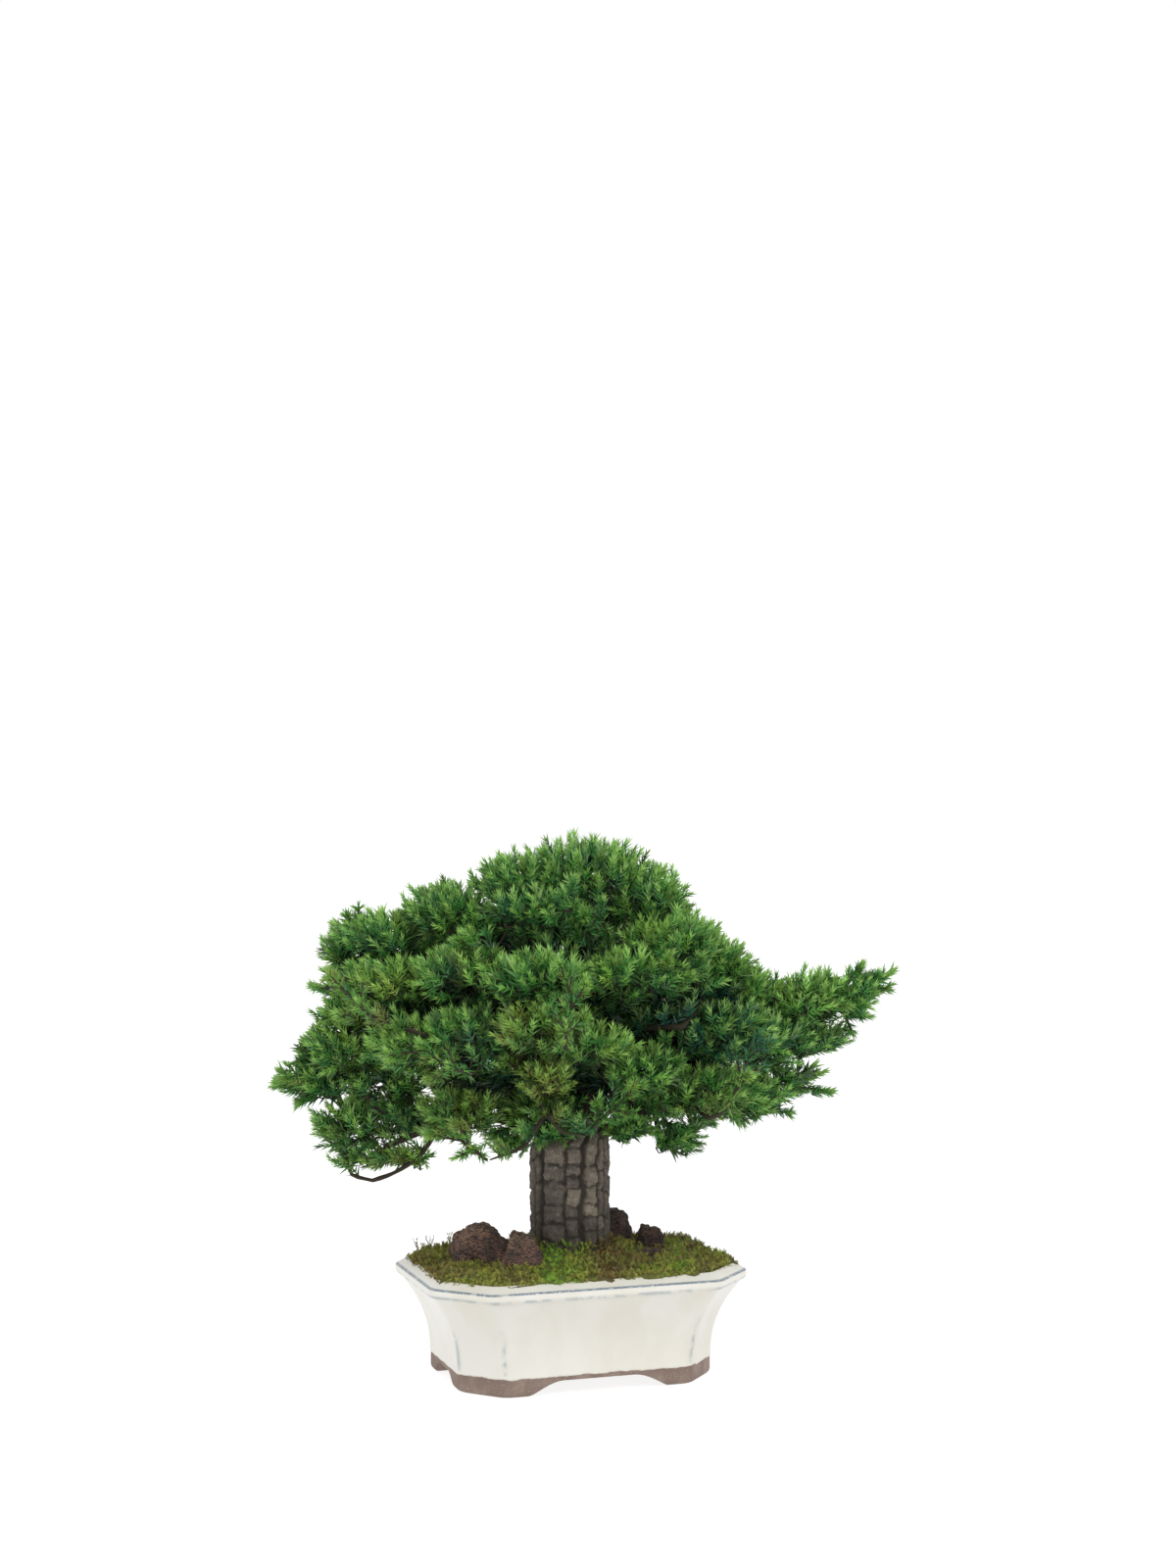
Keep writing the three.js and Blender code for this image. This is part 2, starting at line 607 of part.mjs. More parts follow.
// Whether a spot of a pad's skin lies inside another pad
function isCovered(spot, pad) {
  return PADS.some((other) => other !== pad && other.share(spot) < OPEN_SPOT_SHARE);
}

// A spray that ends at a tip: an outline spray points straight out, the others lie along the skin
function sprayAt(tip, pad, normal, isOutline, random) {
  const fan = pad.fanAt(tip);
  const axis = normal.clone();
  if (isOutline) {
    axis.multiplyScalar(LIFT_AT_OUTLINE).add(fan);
  } else {
    const sideways = perpendicular(normal).applyAxisAngle(normal, random() * TURN);
    const along = fan.projectOnPlane(normal).addScaledVector(sideways, STRAY_SIDEWAYS).normalize();
    axis.multiplyScalar(LIFT_OFF_SKIN).add(along);
  }
  axis.addScaledVector(UP, TURN_UP).normalize();
  return { tip, axis, middle: tip.clone().addScaledVector(axis, -SPRAY_LENGTH / 2) };
}

// Every spray that the canopy could have: those of the outline, and one for each open spot of the skin
function possibleSprays(random) {
  const outline = OUTLINE_TIPS.map((tip) => {
    const pad = PADS.reduce((best, other) => (other.share(tip) < best.share(tip) ? other : best));
    return sprayAt(tip, pad, pad.normalAt(tip), true, random);
  });
  const skin = PADS.flatMap((pad) => pad.spots()
    .filter((spot) => !isBesideBareTrunk(spot) && !isCovered(spot, pad))
    .map((spot) => sprayAt(spot, pad, pad.normalAt(spot), false, random)));
  return { outline, skin };
}

// Picks the outline's sprays, then each where the skin is emptiest, passing over those without room
function pickSprays({ outline, skin }, blocked) {
  const chosen = outline.filter((spray) => !blocked.has(spray));
  const open = skin.filter((spray) => !blocked.has(spray));
  while (chosen.length < SPRAY_COUNT) {
    const room = open.map(({ middle }) => (
      Math.min(...chosen.map((spray) => spray.middle.distanceTo(middle)))));
    const emptiest = room.indexOf(Math.max(...room));
    chosen.push(...open.splice(emptiest, 1));
  }
  return chosen;
}

// Keeps every needle, shoot and limb clear of what another piece already fills
class Occupancy {
  constructor(cell) {
    this.cell = cell;
    this.cells = new Map();
  }

  key(x, y, z) {
    return `${x},${y},${z}`;
  }

  add(point, radius, owner) {
    const key = this.key(...point.toArray().map((value) => Math.floor(value / this.cell)));
    if (!this.cells.has(key)) {
      this.cells.set(key, []);
    }
    this.cells.get(key).push({ point: point.clone(), radius, owner });
  }

  addLine(points, radius, owner) {
    points.forEach((point) => this.add(point, radius, owner));
  }

  isFree(point, radius, allowed) {
    const [x, y, z] = point.toArray().map((value) => Math.floor(value / this.cell));
    for (let dx = -1; dx <= 1; dx += 1) {
      for (let dy = -1; dy <= 1; dy += 1) {
        for (let dz = -1; dz <= 1; dz += 1) {
          for (const other of this.cells.get(this.key(x + dx, y + dy, z + dz)) ?? []) {
            const room = radius + other.radius + CLEARANCE;
            if (!allowed.includes(other.owner) && other.point.distanceTo(point) < room) {
              return false;
            }
          }
        }
      }
    }
    return true;
  }

  isLineFree(points, radius, allowed) {
    return points.every((point) => this.isFree(point, radius, allowed));
  }
}

let occupied = new Occupancy(CROWDING_CELL);

// The trunk and shoulder fill a column that no spray may enter
function occupyTrunk() {
  const rowSpacing = 4;
  const pointsRound = 24;
  const skinRadius = 5;
  const reach = TRUNK_RADIUS - 3;
  for (let z = SOIL_TOP; z < TRUNK_SHOULDER + 12; z += rowSpacing) {
    for (let step = 0; step < pointsRound; step += 1) {
      const angle = (step * TURN) / pointsRound;
      const point = new THREE.Vector3(reach * Math.cos(angle), reach * Math.sin(angle), z);
      occupied.add(point, skinRadius, 'wood');
    }
  }
}

// A spray's shoots are planned first, so that its needles can keep clear of all of them
class Shoot {
  constructor(owner, start, axis, levels, radius, bend) {
    Object.assign(this, { owner, levels, radius });
    this.centres = [start.clone()];
    this.axes = [axis.clone()];
    for (const height of levels) {
      const next = this.axes.at(-1).clone().addScaledVector(bend, height).normalize();
      this.centres.push(this.centres.at(-1).clone().addScaledVector(next, height));
      this.axes.push(next);
    }
  }

  // Points along the shoot, leaving out the first stretch of the given length
  samples(skip) {
    const points = [];
    let travelled = 0;
    for (let index = 1; index < this.centres.length; index += 1) {
      const length = this.levels[index - 1];
      for (let share = 0.25; share <= 1; share += 0.25) {
        if (travelled + share * length > skip) {
          points.push(this.centres[index - 1].clone().lerp(this.centres[index], share));
        }
      }
      travelled += length;
    }
    return points;
  }
}

// A branching leafy body, grown ring by ring from triangles turned a sixth of a turn at each level
class Spray {
  constructor(name, random) {
    this.name = name;
    this.random = random;
    this.vertices = [];
    this.triangles = [];
    this.sides = [];
  }

  vertex(point) {
    this.vertices.push(point);
    return this.vertices.length - 1;
  }

  // Plans the main shoot from root to tip, bending it clear of what is there already
  plan(root, axis) {
    const levels = [];
    for (let whorl = 0; whorl < MAIN_WHORLS; whorl += 1) {
      levels.push(INTERNODE * (0.92 + 0.16 * this.random()), WHORL);
    }
    const besideTwig = 6;
    const roomForNeedles = 1.5;
    for (let attempt = 0; attempt < MAIN_ATTEMPTS; attempt += 1) {
      const aim = axis.clone().add(this.scatter(attempt * MAIN_SWAY_STEP)).normalize();
      const bend = UP.clone().multiplyScalar(MAIN_BEND).add(this.scatter(MAIN_BEND));
      const main = new Shoot(`${this.name} main`, root, aim, levels, SHOOT_RADIUS, bend);
      if (occupied.isLineFree(main.samples(besideTwig), SHOOT_RADIUS + roomForNeedles, [])) {
        this.main = main;
        occupied.addLine(main.samples(0), SHOOT_RADIUS, main.owner);
        return true;
      }
    }
    return false;
  }

  scatter(size) {
    const offset = new THREE.Vector3(this.random() - 0.5, this.random() - 0.5, this.random() - 0.5);
    return offset.multiplyScalar(2 * size);
  }

  // Side shoots leave each whorl but the last in pairs, each pair turned across the one below
  planSides() {
    const reference = perpendicular(this.main.axes[0]);
    let azimuth = this.random() * TURN;
    for (let level = 1; level + 2 < this.main.levels.length; level += 2) {
      for (const turn of [0, Math.PI]) {
        this.planSide(level, reference, azimuth + turn);
      }
      azimuth += TURN * PAIR_TURN;
    }
  }

  // Plans one side shoot, swung round its parent until it is clear, or leaves it out
  planSide(level, reference, azimuth) {
    const axis = this.main.axes[level];
    const start = this.main.centres[level].clone().lerp(this.main.centres[level + 1], 0.5);
    const besideParent = 4;
    const roomForNeedles = 0.4;
    for (let attempt = 0; attempt < SIDE_ATTEMPTS; attempt += 1) {
      const swing = (attempt % 2 ? 1 : -1) * Math.ceil(attempt / 2) * SIDE_SWING_STEP;
      const sideways = reference.clone().projectOnPlane(axis).normalize();
      const outward = sideways.applyAxisAngle(axis, azimuth + swing);
      const aim = axis.clone().multiplyScalar(SIDE_AIM[0]);
      aim.addScaledVector(outward, SIDE_AIM[1]).normalize();
      const reach = SIDE_SHOOT_LENGTH * (0.9 + 0.3 * this.random());
      const owner = `${this.name} side ${this.sides.length}`;
      const bend = axis.clone().multiplyScalar(SIDE_BEND);
      const side = new Shoot(owner, start, aim, [reach, WHORL], SIDE_SHOOT_RADIUS, bend);
      const room = SIDE_SHOOT_RADIUS + roomForNeedles;
      if (occupied.isLineFree(side.samples(besideParent), room, [this.main.owner])) {
        occupied.addLine(side.samples(0), SIDE_SHOOT_RADIUS, side.owner);
        this.sides.push({ level, outward, side });
        return;
      }
    }
  }

  // The whole spray as one closed body
  build() {
    const reference = perpendicular(this.main.axes[0]);
    const base = this.ring(this.main.centres[0], this.main.axes[0], reference, this.main.radius);
    this.triangles.push([base[0], base[2], base[1]]);
    this.grow(this.main, base, 0);
    return faceted(this.vertices, this.triangles);
  }

  ring(centre, axis, reference, radius) {
    const sideways = reference.clone().projectOnPlane(axis).normalize();
    const upwards = axis.clone().cross(sideways);
    return ringAbout(centre, sideways, upwards, radius, 3).map((point) => this.vertex(point));
  }

  // Grows a shoot from a triangle: plain internodes, needled whorls and a needle at the tip
  grow(shoot, base, firstLevel) {
    let lower = base;
    for (let level = firstLevel; level < shoot.levels.length; level += 1) {
      const axis = shoot.axes[level + 1];
      const centre = shoot.centres[level + 1];
      const edge = this.vertices[lower[0]].clone().add(this.vertices[lower[1]]).multiplyScalar(0.5);
      const taper = 1 - SHOOT_TAPER * (level / shoot.levels.length);
      const upper = this.ring(centre, axis, edge.sub(centre), shoot.radius * taper);
      const faces = [0, 1, 2].flatMap((index) => {
        const next = (index + 1) % 3;
        return [[lower[index], lower[next], upper[index]], [lower[next], upper[next], upper[index]]];
      });
      const hasNeedles = shoot.levels[level] === WHORL;
      const branches = shoot === this.main ? this.sides.filter((side) => side.level === level) : [];
      const branchFaces = branches.map(({ outward }) => this.faceTowards(faces, outward));
      const owners = [shoot.owner, ...branches.map(({ side }) => side.owner)];
      faces.forEach((face, index) => {
        const branch = branchFaces.indexOf(index);
        if (branch >= 0) {
          this.grow(branches[branch].side, face, 0);
        } else if (hasNeedles) {
          this.needle(face, axis, owners, NEEDLE_LEAN);
        } else {
          this.triangles.push(face);
        }
      });
      lower = upper;
    }
    this.needle(lower, shoot.axes.at(-1), [shoot.owner], 0);
  }

  faceTowards(faces, outward) {
    const facing = faces.map((face) => this.normal(face).dot(outward));
    return facing.indexOf(Math.max(...facing));
  }

  triangle(face) {
    return new THREE.Triangle(...face.map((index) => this.vertices[index]));
  }

  normal(face) {
    return this.triangle(face).getNormal(new THREE.Vector3());
  }

  // Raises a face into one needle leaned out from the shoot, or leaves it plain where there is no room
  needle(face, axis, owners, lean) {
    const middle = this.triangle(face).getMidpoint(new THREE.Vector3());
    const outward = this.normal(face).projectOnPlane(axis).normalize();
    const length = NEEDLE_LENGTH * (0.88 + 0.24 * this.random());
    for (const easing of NEEDLE_LEAN_CHOICES) {
      const angle = lean * easing;
      const aim = axis.clone().multiplyScalar(Math.cos(angle)).addScaledVector(outward, Math.sin(angle));
      const points = [0.35, 0.6, 0.8, 1].map((share) => (
        middle.clone().addScaledVector(aim, length * share)));
      if (occupied.isLineFree(points, NEEDLE_RADIUS, owners)) {
        occupied.addLine(points, NEEDLE_RADIUS, owners[0]);
        const tip = this.vertex(points.at(-1));
        const [first, second, third] = face;
        this.triangles.push([first, second, tip], [second, third, tip], [third, first, tip]);
        return;
      }
    }
    this.triangles.push(face);
  }
}

function perpendicular(axis) {
  const helper = Math.abs(axis.z) < 0.9 ? UP : new THREE.Vector3(1, 0, 0);
  return helper.clone().projectOnPlane(axis).normalize();
}

// The point of the boughs nearest to a spray's root, past the first third of each bough
function nearestOnBoughs(point) {
  const bareShare = 0.35;
  const stepShare = 0.04;
  let best = null;
  let bestDistance = Infinity;
  for (const bough of [LEADER, ...BOUGHS]) {
    for (let share = bareShare; share < 1; share += stepShare) {
      const candidate = bough.pointAt(share);
      const distance = candidate.distanceTo(point);
      if (distance < bestDistance) {
        best = candidate;
        bestDistance = distance;
      }
    }
  }
  return best;
}

// Lays out a spray from its tip back to its root, and the twig that carries it
function layOut(place) {
  const kneeShare = 0.45;
  const footRadius = TWIG_RADIUS + 0.35;
  const axis = place.axis.clone().applyAxisAngle(UP, FRONT_TURN);
  const root = frontPoint(...place.tip.toArray()).addScaledVector(axis, -SPRAY_LENGTH);
  const foot = nearestOnBoughs(root);
  const end = root.clone().addScaledVector(axis, -ROOT_GAP);
  const knee = end.clone().addScaledVector(axis, -kneeShare * foot.distanceTo(end));
  const route = new THREE.QuadraticBezierCurve3(foot, knee, end);
  return { place, root, axis, twig: new Limb(route, footRadius, TWIG_RADIUS, 3, 2) };
}

// Plans the tree again without the sprays that find no room, until all that are left find it
function planTree() {
  const possible = possibleSprays(randomSource(TREE_SEED));
  const blocked = new Set();
  for (;;) {
    const layout = pickSprays(possible, blocked).map(layOut);
    const limbs = [LEADER, ...BOUGHS, HOOKED_TWIG, ...layout.map(({ twig }) => twig)];
    occupied = new Occupancy(CROWDING_CELL);
    occupyTrunk();
    limbs.forEach((limb) => limb.occupy());
    const sprays = layout.map((unused, index) => (
      new Spray(`spray_${String(index + 1).padStart(2, '0')}`, randomSource(100 + index))));
    const stuck = layout.filter(({ root, axis }, index) => !sprays[index].plan(root, axis));
    if (stuck.length === 0) {
      return { limbs, sprays };
    }
    stuck.forEach(({ place }) => blocked.add(place));
  }
}

// Builds the wood as one body and the sprays around it
function growTree() {
  const { limbs, sprays } = planTree();
  sprays.forEach((spray) => spray.planSides());
  const wood = limbs.reduce((tree, limb) => tree.add(solidOf(limb.geometry())), trunk());
  return { wood, sprays };
}

addPiece('pot', geometryOf(pot()), CREAM_GLAZE);
addPiece('drain_screen_left', geometryOf(drainScreen(-DRAIN_X)), SCREEN_BLACK);
addPiece('drain_screen_right', geometryOf(drainScreen(DRAIN_X)), SCREEN_BLACK);
addPiece('soil', geometryOf(soil()), DARK_EARTH);
addPiece('moss', geometryOf(moss()), GREEN_MOSS);
STONES.forEach((stone) => addPiece(stone.name, geometryOf(stone.solid()), LAVA_STONE));
const { wood, sprays } = growTree();
addPiece('wood', geometryOf(wood), BARK);
sprays.forEach((spray) => addPiece(spray.name, spray.build(), NEEDLE_GREEN));

export default bonsai;
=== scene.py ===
"""Looks of a juniper bonsai in a glazed stoneware pot.

Every piece is built in metres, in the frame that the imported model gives. The tree's front view is turned from the
pot's, so places on the tree are given across, behind and above the middle of the pot's foot, in millimetres.
"""

import logging
import math
import random
from collections.abc import Iterable, Sequence
from dataclasses import dataclass
from enum import Enum

import bmesh
import bpy
import numpy as np
from mathutils import Matrix, Vector, kdtree, noise
from mathutils.bvhtree import BVHTree


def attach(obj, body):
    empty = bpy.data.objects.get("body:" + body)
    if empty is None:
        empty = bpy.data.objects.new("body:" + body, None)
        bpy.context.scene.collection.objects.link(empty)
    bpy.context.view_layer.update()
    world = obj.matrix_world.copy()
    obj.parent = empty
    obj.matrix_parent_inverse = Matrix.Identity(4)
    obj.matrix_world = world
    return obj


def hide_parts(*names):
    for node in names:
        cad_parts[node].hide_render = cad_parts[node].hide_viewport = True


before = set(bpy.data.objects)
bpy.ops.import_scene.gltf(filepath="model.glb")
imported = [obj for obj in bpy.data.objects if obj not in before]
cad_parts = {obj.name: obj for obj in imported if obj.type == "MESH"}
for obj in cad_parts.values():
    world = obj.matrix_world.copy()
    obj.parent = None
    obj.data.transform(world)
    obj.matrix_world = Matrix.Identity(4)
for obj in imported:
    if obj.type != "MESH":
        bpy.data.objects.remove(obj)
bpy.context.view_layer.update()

LOG = logging.getLogger("juniper_bonsai")
MM = 0.001
UP = Vector((0, 0, 1))
BODY = "root"
FRONT_TURN = math.radians(-18.5)
GOLDEN_ANGLE = math.pi * (3 - math.sqrt(5))
CROWN_FOOT = Vector((0, 0, 0.17))
TINTS = ("age", "shade", "tone")


def front_point(across_mm: float, depth_mm: float, height_mm: float) -> Vector:
    """Turns a place in the tree's front view into a place in the frame.

    Args:
        across_mm: Distance to the right of the pot's middle.
        depth_mm: Distance behind the pot's middle.
        height_mm: Height above the table.

    Returns:
        The point in metres.
    """
    return Matrix.Rotation(FRONT_TURN, 3, "Z") @ Vector((across_mm, depth_mm, height_mm)) * MM


def front_view(point: Vector) -> Vector:
    """Turns a point of the frame into its place in the tree's front view.

    Args:
        point: The point in metres.

    Returns:
        Across, depth and height in millimetres.
    """
    return Matrix.Rotation(-FRONT_TURN, 3, "Z") @ point / MM


def smoothstep(low: float, high: float, value: float) -> float:
    """Rises smoothly from 0 at low to 1 at high.

    Args:
        low: Where the rise starts.
        high: Where the rise ends.
        value: Where it is read.

    Returns:
        The share of the rise, from 0 to 1.
    """
    share = min(max((value - low) / (high - low), 0.0), 1.0)
    return share * share * (3 - 2 * share)


def clouds(point: Vector, *layers: tuple[float, float]) -> float:
    """Adds up layers of noise at a point.

    Args:
        point: The point.
        *layers: Each layer's size, in the point's own unit, and its strength.

    Returns:
        The sum.
    """
    return sum(noise.noise(point / size) * strength for size, strength in layers)


def linear(colour: str) -> tuple[float, float, float, float]:
    """Turns an sRGB hex colour such as #E6E1D6 into linear red, green, blue and full alpha.

    Args:
        colour: The colour with its leading mark.

    Returns:
        The four channels.
    """
    channels = [int(colour[start:start + 2], 16) / 255 for start in (1, 3, 5)]
    return (*[c / 12.92 if c <= 0.04045 else ((c + 0.055) / 1.055) ** 2.4 for c in channels], 1.0)


def add_node(tree: bpy.types.NodeTree, kind: str, inputs: dict | None = None,
             ramp: Sequence[tuple[float, str]] = (), **settings: object) -> bpy.types.Node:
    """Adds a shader node with its settings and links.

    Args:
        tree: The node tree of a material or world.
        kind: The node's type name.
        inputs: A value, or an output socket to link, for each input's name or number.
        ramp: The stops of a colour ramp, as positions and hex colours.
        **settings: Properties of the node.

    Returns:
        The new node.
    """
    node = tree.nodes.new(kind)
    for name, value in settings.items():
        setattr(node, name, value)
    for key, value in (inputs or {}).items():
        if isinstance(value, bpy.types.NodeSocket):
            tree.links.new(value, node.inputs[key])
        else:
            node.inputs[key].default_value = value
    while ramp and len(node.color_ramp.elements) < len(ramp):
        node.color_ramp.elements.new(1.0)
    for stop, (position, colour) in zip(node.color_ramp.elements if ramp else (), ramp):
        stop.position = position
        stop.color = linear(colour)
    return node


class Surface:
    """A material's node tree with its shader, ready for patterns."""

    def __init__(self, name: str, **shader_values: object) -> None:
        """Starts a material.

        Args:
            name: The material's name.
            **shader_values: Values of the shader's own sockets, with underscores for spaces.
        """
        self.material = bpy.data.materials.new(name)
        self.material.use_nodes = True
        self.tree = self.material.node_tree
        self.tree.nodes.clear()
        values = {key.replace("_", " "): value for key, value in shader_values.items()}
        self.shader = add_node(self.tree, "ShaderNodeBsdfPrincipled", values)
        add_node(self.tree, "ShaderNodeOutputMaterial", {"Surface": self.shader.outputs["BSDF"]})
        self.place = add_node(self.tree, "ShaderNodeTexCoord").outputs["Object"]

    def noise(self, size_mm: float, detail: float = 3.0, stretch: Sequence[float] = (1, 1, 1)) -> bpy.types.NodeSocket:
        """Adds a cloudy pattern.

        Args:
            size_mm: The size of one patch.
            detail: How many finer layers it has.
            stretch: How much closer the pattern repeats along X, Y and Z.

        Returns:
            The pattern's value, about 0.3 to 0.7.
        """
        mapping = add_node(self.tree, "ShaderNodeMapping", {"Vector": self.place, "Scale": stretch})
        texture = add_node(self.tree, "ShaderNodeTexNoise", {
            "Vector": mapping.outputs["Vector"], "Scale": 1 / (size_mm * MM), "Detail": detail})
        return texture.outputs["Fac"]

    def attribute(self, name: str) -> bpy.types.NodeSocket:
        """Reads a number that the mesh carries at each vertex."""
        return add_node(self.tree, "ShaderNodeAttribute", attribute_name=name).outputs["Fac"]

    def spread(self, value: bpy.types.NodeSocket, low: float, high: float,
               start: float = 0.0, end: float = 1.0) -> bpy.types.NodeSocket:
        """Maps a value's range onto another one, clamped and smooth.

        Args:
            value: The value to map.
            low: Where it starts to rise.
            high: Where it is full.
            start: The result at low.
            end: The result at high.

        Returns:
            The mapped value.
        """
        return add_node(self.tree, "ShaderNodeMapRange", {
            "Value": value, "From Min": low, "From Max": high, "To Min": start, "To Max": end,
        }, interpolation_type="SMOOTHSTEP").outputs["Result"]

    def math(self, operation: str, first: object, second: object = 0.0) -> bpy.types.NodeSocket:
        """Combines two values or sockets by an operation."""
        return add_node(self.tree, "ShaderNodeMath", {0: first, 1: second}, operation=operation).outputs[0]

    def ramp(self, value: bpy.types.NodeSocket, *stops: tuple[float, str]) -> bpy.types.NodeSocket:
        """Turns a value into a colour by stops, each a position and a hex colour."""
        return add_node(self.tree, "ShaderNodeValToRGB", {"Fac": value}, ramp=stops).outputs["Color"]

    def mix(self, share: object, under: object, over: object) -> bpy.types.NodeSocket:
        """Lays one colour over another.

        Args:
            share: How much of the second colour shows.
            under: The first colour, as a hex value or a socket.
            over: The second colour.

        Returns:
            The mixed colour.
        """
        # The node keeps its two colours on inputs 6 and 7, and their mix on output 2.
        colours = {6: under, 7: over}
        values = {key: linear(c) if isinstance(c, str) else c for key, c in colours.items()}
        return add_node(self.tree, "ShaderNodeMix", {0: share, **values}, data_type="RGBA").outputs[2]

    def finish(self, colour: bpy.types.NodeSocket, roughness: bpy.types.NodeSocket | None = None,
               height: bpy.types.NodeSocket | None = None, relief_mm: float = 0.0) -> bpy.types.Material:
        """Links the patterns to the shader.

        Args:
            colour: The surface's colour.
            roughness: The surface's roughness, where it varies.
            height: The fine relief, from 0 to 1.
            relief_mm: How deep the fine relief is.

        Returns:
            The finished material.
        """
        self.tree.links.new(colour, self.shader.inputs["Base Color"])
        if roughness is not None:
            self.tree.links.new(roughness, self.shader.inputs["Roughness"])
        if height is not None:
            bump = add_node(self.tree, "ShaderNodeBump", {"Height": height, "Distance": relief_mm * MM})
            self.tree.links.new(bump.outputs["Normal"], self.shader.inputs["Normal"])
        return self.material


@dataclass(frozen=True)
class CreamGlaze:
    """Opaque cream glaze on thrown and pressed stoneware, dipped to a line above the bare feet.

    It gives a soft gloss, thins to a silver-grey line on the rim's edge and pools blue-green down the lower corners;
    under the lip the same blue-grey is painted shadow. Below the line the fired clay is matt brown with sandy specks.
    """

    cream: str = "#D2D0C8"
    warm_cream: str = "#CDC9BE"
    # Blue-grey of the glaze pooled at the lower corners and of the painted shadow under the lip.
    pool_and_shadow_blue: str = "#8A989C"
    thin_grey: str = "#636F79"
    silver: str = "#A9B1B6"
    clay: str = "#756359"
    pale_clay: str = "#8F7D72"
    sand: str = "#B3A091"
    thin_edge: str = "#A79C8C"
    glaze_line_mm: float = 11.0
    line_waver_mm: float = 3.5
    speck_mm: float = 0.8

    def material(self) -> bpy.types.Material:
        """Builds the pot's material.

        Returns:
            The glaze with the bare clay below it.
        """
        s = Surface("cream_glazed_stoneware", IOR=1.52)
        height = add_node(s.tree, "ShaderNodeSeparateXYZ", {0: s.place}).outputs["Z"]
        waver = s.math("MULTIPLY", s.math("SUBTRACT", s.noise(9.0), 0.5), self.line_waver_mm * MM)
        line = s.math("ADD", height, waver)
        glazed = s.spread(line, (self.glaze_line_mm - 0.25) * MM, (self.glaze_line_mm + 0.25) * MM)
        cloudy = s.mix(s.spread(s.noise(26.0, 4.0, (1, 1, 0.6)), 0.38, 0.66), self.cream, self.warm_cream)
        broken = s.spread(s.noise(7.0, 3.0), 0.4, 0.6)
        # Glaze pooled down the lower corners, and painted shadow under the lip, both in blue-grey.
        pool_and_shadow = s.math("MULTIPLY", s.attribute("pool_and_lip_shadow"), s.math("ADD", s.math("MULTIPLY", broken, 0.7), 0.1))
        tinted = s.mix(pool_and_shadow, cloudy, self.pool_and_shadow_blue)
        flecks = s.mix(s.spread(s.noise(0.9, 2.0), 0.5, 0.62), self.thin_grey, self.silver)
        worn = s.math("MULTIPLY", s.attribute("rim_line"), s.spread(s.noise(6.0, 3.0), 0.32, 0.44, 0.45, 1.0))
        glaze = s.mix(worn, tinted, flecks)
        grains = s.noise(self.speck_mm, 2.0)
        clay = s.mix(s.spread(s.noise(14.0), 0.4, 0.65, 0.0, 0.7), self.clay, self.pale_clay)
        clay = s.mix(s.spread(grains, 0.62, 0.7, 0.0, 0.5), clay, self.sand)
        edge = s.math("MULTIPLY", glazed, s.spread(line, (self.glaze_line_mm + 1.0) * MM, self.glaze_line_mm * MM))
        colour = s.mix(s.math("MULTIPLY", edge, 0.5), s.mix(glazed, clay, glaze), self.thin_edge)
        roughness = s.math("SUBTRACT", 0.78, s.math("MULTIPLY", glazed, 0.5))
        ripple = s.math("MULTIPLY", s.math("SUBTRACT", 1.0, glazed), grains)
        return s.finish(colour, roughness, ripple, 0.25)


